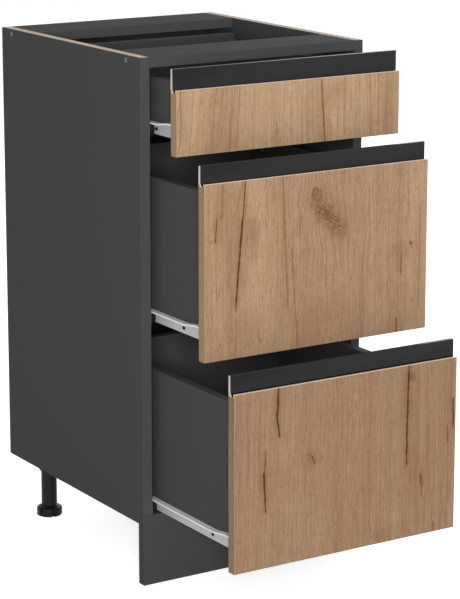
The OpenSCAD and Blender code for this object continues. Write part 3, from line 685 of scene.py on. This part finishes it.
def oak_face(drawer, fronts):
    """The printed oak of one front, with that front's own cracks, knots and shades."""
    w = Finish(f"Oak, {drawer} front")
    cut = CUTS[drawer]
    x, y, z = w.parts(w.here)
    leaning = w.times(w.smooth(x, LEAN_FROM, LEAN_TO), w.times(z, -cut.slant))
    bent = w.vector("ADD", w.here, w.joined(leaning))
    dark = opaque(fronts.oak_dark)
    knots = []
    for knot_x, knot_z, half_width, half_height, lean, push, strength, rings in KNOTS[drawer]:
        knot = w.place(
            "Knot", Vector=w.here, Middle=w.joined(knot_x, y, knot_z), Half_Width=half_width,
            Half_Height=half_height, Lean=math.radians(lean), Push=push, Ring_Share=rings,
        )
        bent = w.vector("ADD", bent, knot["Aside"])
        knots.append((knot, strength))
    figure = w.place(
        "Oak figure", Vector=w.vector("ADD", bent, cut.place), Light=opaque(fronts.oak_light),
        Mid=opaque(fronts.oak_mid), Rosy=opaque(fronts.oak_rosy), Dark=dark, Band_Bias=cut.dark_bands,
        Wave=FACE_WAVE,
    )
    noise = w.noise(w.here, (110.0, 110.0, 40.0), detail=3.0, roughness=0.65)
    shade = 0.0
    for spot_x, spot_z, half_width, half_height, strength in SHADES[drawer]:
        spot = w.place(
            "Soft spot", Vector=w.here, Noise=noise, Middle_X=spot_x, Middle_Z=spot_z, Half_Width=half_width,
            Half_Height=half_height, Strength=strength,
        )
        shade = w.larger(shade, spot["Mask"])
    for knot, strength in knots:
        shade = w.larger(shade, w.times(knot["Shade"], KNOT_SHADE * strength))
    split = halo = 0.0
    for top_x, top_z, foot_x, foot_z, half_width, strength in CRACKS[drawer]:
        line = w.place(
            "Crack", Vector=w.here, Top_X=top_x, Top_Z=top_z, Foot_X=foot_x, Foot_Z=foot_z,
            Half_Width=half_width, Strength=strength, Wander=cut.wander,
        )
        split = w.larger(split, line["Mask"])
        halo = w.larger(halo, line["Halo"])
    # The deep tone darkens the lower fronts, partly as their own tone and partly as painted shade
    tint = w.mix(shade, w.mix(cut.tone_and_shade_share, figure["Colour"], opaque(fronts.deep_tone_and_shade)), dark)
    tint = w.mix(w.times(halo, HALO_SHADE), tint, dark)
    for knot, strength in knots:
        tint = w.mix(w.times(knot["Flecks"], strength), tint, opaque(fronts.knot))
    tint = w.mix(w.smooth(split, 0.0, 0.6), tint, opaque(fronts.crack_edge))
    tint = w.mix(w.smooth(split, 0.3, 1.0), tint, opaque(fronts.crack))
    w.shade(
        Base_Color=tint, Roughness=w.smooth(figure["Streaks"], 0.3, 0.7, 0.55, 0.65), Specular_IOR_Level=0.3
    )
    w.emboss(figure["Height"], FACE_BUMP, FACE_RELIEF)
    return w.material


def oak_edging(name, tint, tone=1.0):
    """Edging printed with the oak figure, in the given tone, which on the lower fronts' edging is partly
    painted shade.
    """
    w = Finish(name)
    figure = w.place(
        "Oak figure", Vector=w.vector("ADD", w.here, EDGING_CUT), Band_Bias=0.45, Wave=EDGING_WAVE,
        **{band: opaque(tint, tone * share) for band, share in EDGING_SHARES.items()},
    )
    w.shade(Base_Color=figure["Colour"], Roughness=0.5)
    w.emboss(figure["Height"], EDGING_BUMP, EDGING_RELIEF)
    return w.material


MATERIALS = {}


class CABINET_OT_finishes(bpy.types.Operator):
    """Build the shared node groups and every material of the cabinet"""

    bl_idname = "cabinet.finishes"
    bl_label = "Finishes"

    def execute(self, context):
        scene = context.scene
        boards, fronts = scene.cabinet_boards, scene.cabinet_fronts
        for build in (
            build_surface_texture, build_chips, build_oak_figure, build_crack, build_knot, build_soft_spot,
        ):
            build()
        for key, name, settings, tint, texture in TEXTURED:
            MATERIALS[key] = textured(name, getattr(getattr(scene, settings), tint), texture)
        MATERIALS["raw"] = pressed(
            "Raw chipboard", opaque(boards.chipboard), opaque(boards.chipboard_dark), flake=0.0016,
            contrast=0.8, roughness=0.85, relief=0.0002,
        )
        MATERIALS["fibre"] = pressed(
            "Raw fibreboard", opaque(boards.fibreboard), opaque(boards.fibreboard, FIBRE_SHADE), flake=0.0006,
            contrast=0.5, roughness=0.75, relief=0.00005,
        )
        MATERIALS["arris"] = oak_edging("Front arris", fronts.arris_tone)
        # The pale lip finish also serves as a painted highlight on the fronts' rounded top edges
        MATERIALS["pale"] = oak_edging("Pale lip", fronts.pale)
        MATERIALS["beech"] = oak_edging("Beech", scene.cabinet_hardware.beech)
        for drawer in DRAWERS:
            MATERIALS["oak_" + drawer] = oak_face(drawer, fronts)
            MATERIALS["edge_" + drawer] = oak_edging(
                f"Oak edging, {drawer} front", fronts.edge, CUTS[drawer].edging_tone_and_shade
            )
        return {"FINISHED"}


# Meshes


def merged(node, flatten=True):
    """A copy of a CAD node's mesh with its loose triangles merged, and joined into flat faces."""
    bm = bmesh.new()
    bm.from_mesh(FRAME["nodes"][node].data)
    bmesh.ops.remove_doubles(bm, verts=bm.verts, dist=MERGE)
    if flatten:
        bmesh.ops.dissolve_limit(
            bm, angle_limit=FLAT_ANGLE, use_dissolve_boundaries=False, verts=bm.verts, edges=bm.edges
        )
        bm.normal_update()
    return bm


def mark_arrises(bm, shortest):
    """Marks each long sharp edge for rounding, and keeps the other sharp edges, such as holes, sharp."""
    weight = bm.edges.layers.float.new("bevel_weight_edge")
    for line in bm.edges:
        if line.calc_face_angle(0.0) > SHARP:
            if line.calc_length() > shortest:
                line[weight] = 1.0
            else:
                line.smooth = False


def new_object(name, mesh):
    piece = bpy.data.objects.new(name, mesh)
    bpy.context.collection.objects.link(piece)
    return piece


def stand_for(piece, node):
    """The piece stands for a CAD node: it rides on its body, and the CAD node is hidden."""
    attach(piece, BODY_OF[node])
    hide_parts(node)


def dressed(node, finishes, width=0.0, shortest=SMALL_EDGE, steps=2, bm=None, arris_material=-1):
    """A finished copy of a CAD node with its long arrises rounded and its flat faces shaded flat."""
    bm = bm or merged(node)
    mark_arrises(bm, shortest if width else math.inf)
    for face in bm.faces:
        face.smooth = True
    mesh = bpy.data.meshes.new(node + "_finished")
    bm.to_mesh(mesh)
    bm.free()
    for key in finishes:
        mesh.materials.append(MATERIALS[key])
    piece = new_object(mesh.name, mesh)
    stand_for(piece, node)
    if width:
        bevel = piece.modifiers.new("Arris", "BEVEL")
        bevel.width = width
        bevel.segments = steps
        bevel.limit_method = "WEIGHT"
        bevel.loop_slide = False
        bevel.material = arris_material
    normals = piece.modifiers.new("Flat faces", "WEIGHTED_NORMAL")
    normals.weight = 100
    normals.keep_sharp = True


def facing(face, axis, sign):
    """Whether the face looks along the axis with that sign."""
    return face.normal[axis] * sign > LOOKS_ALONG


# Boards as (node, axis of the thickness, edging, banded edges as (axis, sign)); every other edge is raw
BOARDS = [
    (node, axis, "band", [(Y, -1)]) for node, axis in (
        ("side_panel_left", X), ("side_panel_right", X), ("bottom_panel", Z), ("top_rail_front", Z),
        ("top_rail_rear", Z),
    )
] + [("plinth_panel", Y, "laminate", [(X, -1), (X, 1), (Z, 1), (Z, -1)])]
DRAWER_BOARDS = [("side_left", X), ("side_right", X), ("back", Y)]


def finish_board(node, thick_axis, edging, banded, arris):
    """A laminated board: laminate on both faces, edging on the banded edges, raw chips on the others."""
    low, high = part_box(node)
    laminate, band, raw, hole = range(4)
    bm = merged(node)
    for face in bm.faces:
        middle = face.calc_center_median()
        side = next((axis for axis in (X, Y, Z) if abs(face.normal[axis]) > LOOKS_ALONG), None)
        outer = side is not None and min(middle[side] - low[side], high[side] - middle[side]) < MERGE
        if side == thick_axis and outer:
            face.material_index = laminate
        elif outer and any(facing(face, axis, sign) for axis, sign in banded):
            face.material_index = band
        else:
            # Faces inside holes, pockets and grooves get the dark nylon finish as painted shade
            face.material_index = raw if outer else hole
    dressed(node, ("laminate", edging, "raw", "nylon"), arris, BOARD_EDGE, bm=bm, arris_material=band)


def finish_thin_board(node, thick_axis, seen_sign, arris):
    """A thin hardboard: lacquered on the seen face, raw fibre elsewhere."""
    lacquer, fibre = range(2)
    bm = merged(node)
    for face in bm.faces:
        face.material_index = lacquer if facing(face, thick_axis, seen_sign) else fibre
    dressed(node, ("laminate", "fibre"), arris, BOARD_EDGE, steps=1, bm=bm)


class CABINET_OT_carcass(bpy.types.Operator):
    """Finish the carcass boards and the thin back panel"""

    bl_idname = "cabinet.carcass"
    bl_label = "Carcass boards"

    def execute(self, context):
        boards = context.scene.cabinet_boards
        for node, thick_axis, edging, banded in BOARDS:
            finish_board(node, thick_axis, edging, banded, boards.arris)
        finish_thin_board("back_panel", Y, -1, boards.thin_arris)
        return {"FINISHED"}


class CABINET_OT_drawer_boxes(bpy.types.Operator):
    """Finish the sides, backs and bottoms of the drawers"""

    bl_idname = "cabinet.drawer_boxes"
    bl_label = "Drawer boxes"

    def execute(self, context):
        boards = context.scene.cabinet_boards
        for drawer in DRAWERS:
            for part, thick_axis in DRAWER_BOARDS:
                finish_board(f"{drawer}_drawer_{part}", thick_axis, "band", [(Z, 1)], boards.arris)
            finish_thin_board(f"{drawer}_drawer_bottom", Z, 1, boards.thin_arris)
        return {"FINISHED"}


class CABINET_OT_drawer_fronts(bpy.types.Operator):
    """Finish the drawer fronts with their oak faces, edging and grip bands"""

    bl_idname = "cabinet.drawer_fronts"
    bl_label = "Drawer fronts"

    def execute(self, context):
        for drawer in DRAWERS:
            self.finish_front(drawer, context.scene.cabinet_fronts)
        return {"FINISHED"}

    def finish_front(self, drawer, fronts):
        node = f"{drawer}_drawer_front"
        low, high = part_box(node)
        bm = merged(node)
        ends = {(round(v.co.y, 5), round(v.co.z, 5)) for v in bm.verts if abs(v.co.x - low.x) < MERGE}
        lip_top = max(z for y, z in ends if abs(y - low.y) < MERGE)
        back_lip = max(y for y, z in ends if z > lip_top + MERGE and high.y - y > MERGE)
        groove_foot = min(z for y, z in ends if low.y + MERGE < y < high.y - MERGE)
        skin_back = back_lip + fronts.lip_skin
        for place, axis in (((0, 0, groove_foot), Z), ((0, 0, lip_top), Z), ((0, skin_back, 0), Y)):
            geometry = bm.verts[:] + bm.edges[:] + bm.faces[:]
            bmesh.ops.bisect_plane(bm, geom=geometry, plane_co=place, plane_no=Matrix.Identity(3)[axis])
        bm.normal_update()
        oak, edge, pale, grip, hole, arris, groove = range(7)
        for face in bm.faces:
            middle = face.calc_center_median()
            at_back = facing(face, Y, 1) and high.y - middle.y < MERGE
            if abs(face.normal.x) > LOOKS_ALONG and high.x - abs(middle.x) < MERGE:
                in_skin = back_lip < middle.y < skin_back
                face.material_index = edge if middle.z < groove_foot else grip if in_skin else pale
            elif facing(face, Z, 1) and abs(middle.z - lip_top) < MERGE:
                face.material_index = pale
            elif middle.z > groove_foot - MERGE and middle.y > low.y + MERGE:
                # Groove faces below the lip top get the near-black finish as painted shade; the others get
                # the grip band
                in_groove = middle.z < lip_top and middle.y < back_lip + MERGE
                face.material_index = groove if in_groove else grip
            elif facing(face, Z, -1) and middle.z < low.z + MERGE:
                face.material_index = edge
            elif facing(face, Y, -1) and middle.y < back_lip or at_back:
                face.material_index = oak
            else:
                # Every other face, such as a drilled hole's wall, gets the dark nylon finish as painted shade
                face.material_index = hole
        arrises = [
            line for line in bm.edges
            if all(abs(v.co.y - low.y) < MERGE for v in line.verts) and line.calc_face_angle(0.0) > SHARP
        ]
        bmesh.ops.bevel(
            bm, geom=arrises, offset=fronts.arris, segments=3, profile=0.5, affect="EDGES", material=arris
        )
        # The upward-facing faces of the rounding round the front face take the pale finish as a painted
        # highlight
        for face in bm.faces:
            if face.material_index == arris and face.normal.z > LIP_UP:
                face.material_index = pale
        finishes = ("oak_" + drawer, "edge_" + drawer, "pale", "grip", "nylon", "arris", "groove")
        dressed(node, finishes, fronts.small_arris, BOARD_EDGE, steps=1, bm=bm)


class CABINET_OT_runners(bpy.types.Operator):
    """Finish the runners and rollers"""

    bl_idname = "cabinet.runners"
    bl_label = "Runners"

    def execute(self, context):
        steel = context.scene.cabinet_hardware
        for drawer in DRAWERS:
            for side in SIDES:
                for part in ("track", "runner"):
                    self.finish_steel(f"{drawer}_{part}_{side}", steel.steel_arris)
            for end in ("front", "rear"):
                dressed(f"{drawer}_{end}_rollers", ["nylon"], steel.roller_arris)
        return {"FINISHED"}

    def finish_steel(self, node, arris):
        """Coated steel, with painted shade inside its drilled holes and a painted highlight on a runner's top
        flange and lip.
        """
        low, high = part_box(node)
        outer = max(abs(low.x), abs(high.x))
        bm = merged(node)
        coat, hole, bright = range(3)
        for face in bm.faces:
            middle = face.calc_center_median()
            # The outer lip and the upward faces of a runner's top flange get the lighter coat as a painted
            # highlight
            lip = abs(face.normal.x) > RUNNER_LIP and outer - abs(middle.x) < MERGE
            flange = face.normal.z > FLANGE_UP and middle.z > (low.z + high.z) / 2
            face.material_index = bright if "runner" in node and (lip or flange) else coat
            # Small facets in the walls of drilled holes get the dark nylon finish as painted shade
            if abs(face.normal.x) < MERGE and face.calc_area() < HOLE_WALL:
                face.material_index = hole
        dressed(node, ("epoxy", "nylon", "bright"), arris, STEEL_EDGE, steps=1, bm=bm)


# Shapes from Geometry Nodes


def end_tree(w, given, out, shape, **turn):
    """Puts the shape at each point, and ends the tree in plain geometry with its material."""
    placed = w.add("GeometryNodeInstanceOnPoints", {"Points": given["Geometry"], "Instance": shape, **turn})
    real = w.add("GeometryNodeRealizeInstances", {"Geometry": placed.outputs[0]})
    inputs = {"Geometry": real.outputs[0], "Material": given["Material"]}
    w.link(w.add("GeometryNodeSetMaterial", inputs).outputs[0], out["Geometry"])
    return w.tree


def set_input(modifier, label, value):
    """Sets a Geometry Nodes input by its socket's identifier."""
    for item in modifier.node_group.interface.items_tree:
        if item.item_type == "SOCKET" and item.in_out == "INPUT" and item.name == label:
            modifier[item.identifier] = value
            return
    raise ValueError(f"{modifier.node_group.name} has no input named {label}")


def grown(node, points, tree, values, aims=None):
    """Runs a Geometry Nodes tree on loose points, as a plain mesh object that stands for a CAD node."""
    name = node + "_finished"
    seed = bpy.data.meshes.new(name + "_points")
    seed.from_pydata([tuple(p) for p in points], [], [])
    if aims is not None:
        attribute = seed.attributes.new("aim", "FLOAT_VECTOR", "POINT")
        attribute.data.foreach_set("vector", [c for aim in aims for c in aim])
    source = new_object(name + "_source", seed)
    modifier = source.modifiers.new(name, "NODES")
    modifier.node_group = tree
    for label, value in values.items():
        set_input(modifier, label, value)
    bpy.context.view_layer.update()
    shown = source.evaluated_get(bpy.context.evaluated_depsgraph_get())
    mesh = bpy.data.meshes.new_from_object(shown)
    mesh.name = name
    source.modifiers.remove(modifier)
    bpy.data.objects.remove(source)
    bpy.data.meshes.remove(seed)
    piece = new_object(name, mesh)
    stand_for(piece, node)
    return piece


# Fasteners


def build_fastener_tree():
    """A screw or nail at each point, its head at the point and its tip along the point's aim."""
    w, given, out = geometry_group("Fastener", {
        "Head Radius": 0.0034, "Seat Radius": 0.0034, "Head Height": 0.0016, "Shank Radius": 0.0017,
        "Tip Radius": 0.0008, "Length": 0.0146, "Key Radius": 0.002, "Key Depth": 0.001, "Key Width": 0.0007,
        "Hex Key": False, "Round Steps": 24,
    })

    def cone(top, foot, depth, down):
        """A cone whose foot lies this far below the head's face."""
        inputs = {
            "Vertices": given["Round Steps"], "Radius Top": given[top], "Radius Bottom": given[foot],
            "Depth": depth,
        }
        made = w.add("GeometryNodeMeshCone", inputs).outputs[0]
        inputs = {"Geometry": made, "Translation": w.joined(z=w.times(given[down], -1.0))}
        return w.add("GeometryNodeTransform", inputs).outputs[0]

    def solid(operation, *others, **inputs):
        """Joins the other solids, or takes them away from the input Mesh 1."""
        node = w.add("GeometryNodeMeshBoolean", inputs, operation=operation, solver="EXACT")
        for other in others:
            w.link(other, node.inputs["Mesh 2"])
        return node.outputs[0]

    def block(x, y, z):
        return w.add("GeometryNodeMeshCube", {"Size": w.joined(x, y, z)}).outputs[0]

    half_head = w.times(given["Head Height"], 0.5)
    head = cone("Head Radius", "Seat Radius", given["Head Height"], "Head Height")
    shank = cone("Shank Radius", "Tip Radius", w.minus(given["Length"], half_head), "Length")
    twice_depth = w.times(given["Key Depth"], 2.0)
    key_across = w.times(given["Key Radius"], 2.0)
    inputs = {"Vertices": 6, "Radius": given["Key Radius"], "Depth": twice_depth}
    hexagon = w.add("GeometryNodeMeshCylinder", inputs).outputs[0]
    blade = block(key_across, given["Key Width"], twice_depth)
    cross = block(given["Key Width"], key_across, twice_depth)
    inputs = {"Switch": given["Hex Key"], "False": solid("UNION", blade, cross), "True": hexagon}
    key = w.add("GeometryNodeSwitch", inputs, input_type="GEOMETRY").outputs[0]
    cut = solid("DIFFERENCE", key, Mesh_1=solid("UNION", head, shank))
    aim = w.add("GeometryNodeInputNamedAttribute", {"Name": "aim"}, data_type="FLOAT_VECTOR")
    away = w.vector("MULTIPLY", aim.outputs[0], (-1.0, -1.0, -1.0))
    turn = w.add("FunctionNodeAlignRotationToVector", {"Vector": away}, axis="Z")
    return end_tree(w, given, out, cut, Rotation=turn.outputs[0])


def solid_boxes(node):
    """The lowest and highest corner of each separate solid in a CAD node."""
    bm = merged(node, flatten=False)
    left = set(bm.verts)
    found = []
    while left:
        group, edge = set(), [next(iter(left))]
        while edge:
            vert = edge.pop()
            if vert in group:
                continue
            group.add(vert)
            edge.extend(line.other_vert(vert) for line in vert.link_edges)
        left -= group
        found.append([Vector([pick(v.co[i] for v in group) for i in range(3)]) for pick in (min, max)])
    bm.free()
    return sorted(found, key=lambda box: tuple(round(c, 5) for c in box[0]))


def head_and_aim(low, high, head_at):
    """The middle of a fastener's head face and the direction of its tip, from its solid's box."""
    size = high - low
    axis = max(range(3), key=lambda i: size[i])
    head = (low + high) / 2
    outward = 1 if head[axis] > 0 else -1
    below = 1 if axis == Y else -1
    sign = {"outer": outward, "inner": -outward, "below": below, "behind": 1}[head_at]
    head[axis] = high[axis] if sign > 0 else low[axis]
    aim = Vector((0, 0, 0))
    aim[axis] = -sign
    return head, aim, size[axis]


PAN_HEAD = {
    "Head Radius": 0.0024, "Seat Radius": 0.0034, "Head Height": 0.0016, "Shank Radius": 0.00175,
    "Tip Radius": 0.0007, "Key Radius": 0.0017, "Key Depth": 0.0009, "Key Width": 0.0007,
}
FLUSH_HEAD = {**PAN_HEAD, "Head Radius": 0.003, "Seat Radius": 0.00175, "Head Height": 0.0012}
CONFIRMAT = {
    "Head Radius": 0.0035, "Seat Radius": 0.0025, "Head Height": 0.003, "Shank Radius": 0.0025,
    "Tip Radius": 0.0021, "Key Radius": 0.0018, "Key Depth": 0.0025, "Hex Key": True,
}
NAIL = {
    "Head Radius": 0.0016, "Seat Radius": 0.0016, "Head Height": 0.0008, "Shank Radius": 0.0007,
    "Tip Radius": 0.0002, "Key Radius": 0.0005, "Key Depth": 0.0001, "Key Width": 0.0005,
}
# Fasteners as (node, where the head is, finish, sizes)
FASTENERS = [
    ("rail_confirmats", "outer", "steel", CONFIRMAT),
    ("track_screws", "inner", "zinc", PAN_HEAD),
    ("leg_screws", "below", "zinc", PAN_HEAD),
    ("bracket_screws", "below", "zinc", PAN_HEAD),
    ("back_nails", "behind", "zinc", NAIL),
] + [(f"{drawer}_runner_screws", "outer", "zinc", FLUSH_HEAD) for drawer in DRAWERS]


class CABINET_OT_fasteners(bpy.types.Operator):
    """Make the screws and nails, and give the cams and dowels their metal and wood"""

    bl_idname = "cabinet.fasteners"
    bl_label = "Fasteners"

    def execute(self, context):
        steel = context.scene.cabinet_hardware
        tree = build_fastener_tree()
        for node, head_at, finish, sizes in FASTENERS:
            heads, aims, lengths = zip(*(head_and_aim(low, high, head_at) for low, high in solid_boxes(node)))
            own = {"Length": lengths[0], "Round Steps": steel.round_steps, "Material": MATERIALS[finish]}
            grown(node, heads, tree, {**sizes, **own}, aims)
        for place in ("bottom", *DRAWERS):
            dressed(f"{place}_cam_fittings", ["zinc"])
        dressed("plinth_brackets", ["zinc"], steel.steel_arris, STEEL_EDGE, steps=1)
        dressed("rail_dowels", ["beech"], steel.dowel_arris)
        return {"FINISHED"}


# Legs

FOOT_AROUND = 240
FOOT_UP = 34
FOOT_HEIGHT = 0.017
FOOT_TURN = math.radians(-21)
FOOT_ARRIS = 0.001
# Added to the angle counted in lobes: eight keep it above nought, and the half puts a slot in mid-count
SLOT_SHIFT = 8.5
# Where a slot's wall starts and ends, as shares of its width, and the share of the cone that it runs up
SLOT_WALL = (0.4, 0.8)
SLOT_UP = 0.3
# Radius from which points move inwards in full
NEAR_AXIS = 0.001
STEM_RADIUS = 0.005
STEM_STEPS = 32
STEM_SUNK = 0.001


def build_foot_tree():
    """A lobed levelling foot at each point: lobes with a rounded shoulder, and a cone up to the tube."""
    w, given, out = geometry_group("Lobed foot", {
        "Radius": 0.021, "Height": FOOT_HEIGHT, "Shoulder": 0.0035, "Cone Height": 0.0025,
        "Neck Radius": 0.0135, "Lobes": 6, "Slot Width": 0.0024, "Slot Depth": 0.0045, "Turn": 0.0,
    })
    wall = w.add("GeometryNodeMeshCylinder", {
        "Vertices": FOOT_AROUND, "Side Segments": FOOT_UP, "Radius": given["Radius"],
        "Depth": given["Height"],
    })
    up = w.joined(z=w.times(given["Height"], 0.5))
    lifted = w.add("GeometryNodeTransform", {"Geometry": wall.outputs[0], "Translation": up})
    x, y, z = w.parts(w.add("GeometryNodeInputPosition").outputs[0])
    lobe_top = w.minus(given["Height"], given["Cone Height"])
    shoulder_foot = w.minus(lobe_top, given["Shoulder"])
    over = w.over(w.minus(z, shoulder_foot), given["Shoulder"], clamp=True)
    flat = w.number("SQRT", w.minus(1.0, w.times(over, over), clamp=True))
    round_in = w.times(w.minus(1.0, flat), given["Shoulder"])
    up_cone = w.over(w.minus(z, lobe_top), given["Cone Height"], clamp=True)
    lobe_radius = w.minus(given["Radius"], given["Shoulder"])
    cone_in = w.times(up_cone, w.minus(lobe_radius, given["Neck Radius"]))
    angle = w.plus(w.number("ARCTAN2", y, x), given["Turn"])
    lobes_on = w.over(w.times(angle, given["Lobes"]), math.tau)
    off_slot = w.absolute(w.minus(w.number("FRACT", w.plus(lobes_on, SLOT_SHIFT)), 0.5))
    aside = w.times(w.times(off_slot, w.over(math.tau, given["Lobes"])), given["Radius"])
    slot = w.smooth(aside, *(w.times(given["Slot Width"], share) for share in SLOT_WALL), 1.0, 0.0)
    slot_depth = w.times(given["Slot Depth"], w.smooth(up_cone, 0.0, SLOT_UP, 1.0, 0.0))
    slot_in = w.times(slot, w.minus(slot_depth, round_in))
    foot_in = w.smooth(z, 0.0, FOOT_ARRIS, FOOT_ARRIS, 0.0)
    inward = w.plus(w.plus(w.plus(round_in, w.larger(slot_in, 0.0)), cone_in), foot_in)
    radial = w.distance(x, y)
    keep = w.over(w.minus(radial, inward), w.larger(radial, NEAR_AXIS), clamp=True)
    moved = w.joined(w.times(x, keep), w.times(y, keep), z)
    shaped = w.add("GeometryNodeSetPosition", {"Geometry": lifted.outputs[0], "Position": moved})
    return end_tree(w, given, out, shaped.outputs[0])


class CABINET_OT_legs(bpy.types.Operator):
    """Make the rear legs: sockets, tubes and lobed levelling feet"""

    bl_idname = "cabinet.legs"
    bl_label = "Legs"

    def execute(self, context):
        for node in ("leg_sockets", "leg_tubes"):
            dressed(node, ["plastic"], context.scene.cabinet_hardware.leg_arris)
        tree = build_foot_tree()
        for side, mirror in zip(SIDES, (1, -1)):
            node = f"foot_{side}"
            low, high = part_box(node)
            middle = (low + high) / 2
            values = {"Turn": FOOT_TURN * mirror, "Material": MATERIALS["plastic"]}
            piece = grown(node, [(middle.x, middle.y, low.z)], tree, values)
            piece.data.shade_smooth()
            piece.data.set_sharp_from_angle(angle=SHARP)
            self.add_stem(piece, middle, high.z)
        return {"FINISHED"}

    def add_stem(self, piece, middle, top):
        """Adds the levelling screw that runs up from the foot into the tube."""
        bm = bmesh.new()
        bm.from_mesh(piece.data)
        plastic = next(iter(bm.faces)).material_index
        foot = FOOT_HEIGHT - STEM_SUNK
        bmesh.ops.create_cone(
            bm, cap_ends=True, segments=STEM_STEPS, radius1=STEM_RADIUS, radius2=STEM_RADIUS,
            depth=top - foot, matrix=Matrix.Translation((middle.x, middle.y, (foot + top) / 2)),
        )
        for face in bm.faces:
            face.material_index = plastic
        bm.to_mesh(piece.data)
        bm.free()


# Stage

# Lamps as (name, setting of the power, place, side of the square); each looks at the same point
LAMPS = (
    ("Key lamp", "key_power", (-2.42, -3.80, 1.45), 0.9),
    ("Top lamp", "top_power", (0.1, -0.5, 3.3), 2.2),
    ("Back lamp", "back_power", (2.9, 2.4, 2.2), 1.8),
)
LAMP_AIM = Vector((0, -0.05, 0.4))
SIGHT = 100


class CABINET_OT_stage(bpy.types.Operator):
    """Set the floor, the light and the camera"""

    bl_idname = "cabinet.stage"
    bl_label = "Stage"

    def execute(self, context):
        scene = context.scene
        stage = scene.cabinet_stage
        self.make_floor(stage)
        self.make_world(scene, stage)
        for name, power, place, side in LAMPS:
            self.make_lamp(name, getattr(stage, power), place, side)
        self.make_camera(scene, stage)
        scene.view_settings.view_transform = "Standard"
        return {"FINISHED"}

    def make_floor(self, stage):
        half = stage.floor_size / 2
        mesh = bpy.data.meshes.new("floor")
        corners = [(-half, -half, 0), (half, -half, 0), (half, half, 0), (-half, half, 0)]
        mesh.from_pydata(corners, [], [(0, 1, 2, 3)])
        w = Finish("Pale floor")
        lay_texture(w, stage.floor_tone, FLOOR_TEXTURE)
        seen = w.add("ShaderNodeLightPath").outputs
        direct = w.larger(seen["Is Camera Ray"], seen["Is Glossy Ray"])
        lift = w.add("ShaderNodeEmission", {"Strength": w.times(direct, stage.floor_lift)})
        both = w.add("ShaderNodeAddShader", {0: w.shader.outputs[0], 1: lift.outputs[0]})
        w.link(both.outputs[0], w.output.inputs["Surface"])
        mesh.materials.append(w.material)
        floor = new_object("floor", mesh)

    def make_world(self, scene, stage):
        world = bpy.data.worlds.new("White studio")
        scene.world = world
        world.use_nodes = True
        world.node_tree.nodes.clear()
        w = Wiring(world.node_tree)
        seen = w.add("ShaderNodeLightPath").outputs
        direct = w.larger(seen["Is Camera Ray"], w.larger(seen["Is Glossy Ray"], seen["Is Transmission Ray"]))
        strength = w.times_plus(direct, 1.0 - stage.ambient, stage.ambient)
        light = w.add("ShaderNodeBackground", {"Color": (1, 1, 1, 1), "Strength": strength})
        w.add("ShaderNodeOutputWorld", {"Surface": light.outputs[0]})

    def make_lamp(self, name, power, place, side):
        lamp = bpy.data.lights.new(name, "AREA")
        lamp.size = side
        lamp.energy = power
        stand = new_object(name, lamp)
        stand.visible_camera = False
        stand.location = place
        stand.rotation_euler = (LAMP_AIM - Vector(place)).to_track_quat("-Z", "Y").to_euler()

    def make_camera(self, scene, stage):
        camera = bpy.data.cameras.new("Camera")
        camera.lens = stage.lens
        camera.shift_x = stage.shift_x
        camera.shift_y = stage.shift_y
        camera.clip_end = SIGHT
        scene.camera = new_object("Camera", camera)
        scene.camera.location = stage.camera_place
        scene.camera.rotation_euler = (math.pi / 2 - stage.camera_dip, 0, -stage.camera_turn)


OPERATORS = (
    CABINET_OT_finishes, CABINET_OT_carcass, CABINET_OT_drawer_boxes, CABINET_OT_drawer_fronts,
    CABINET_OT_runners, CABINET_OT_fasteners, CABINET_OT_legs, CABINET_OT_stage,
)


class CABINET_PT_panel(bpy.types.Panel):
    """Lists the steps that finish the cabinet"""

    bl_idname = "CABINET_PT_panel"
    bl_label = "Kitchen cabinet"
    bl_space_type = "VIEW_3D"
    bl_region_type = "UI"
    bl_category = "Cabinet"

    def draw(self, context):
        for operator in OPERATORS:
            self.layout.operator(operator.bl_idname)


SETTINGS = {
    "cabinet_boards": CabinetBoards, "cabinet_fronts": CabinetFronts, "cabinet_hardware": CabinetHardware,
    "cabinet_stage": CabinetStage,
}


def register():
    for name, group in SETTINGS.items():
        bpy.utils.register_class(group)
        setattr(bpy.types.Scene, name, PointerProperty(type=group))
    for shown in (*OPERATORS, CABINET_PT_panel):
        bpy.utils.register_class(shown)


def unregister():
    for shown in (CABINET_PT_panel, *reversed(OPERATORS)):
        bpy.utils.unregister_class(shown)
    for name, group in reversed(SETTINGS.items()):
        delattr(bpy.types.Scene, name)
        bpy.utils.unregister_class(group)


def main():
    register()
    bpy.ops.cabinet.finishes()
    bpy.ops.cabinet.carcass()
    bpy.ops.cabinet.drawer_boxes()
    bpy.ops.cabinet.drawer_fronts()
    bpy.ops.cabinet.runners()
    bpy.ops.cabinet.fasteners()
    bpy.ops.cabinet.legs()
    bpy.ops.cabinet.stage()


if __name__ == "__main__":
    main()
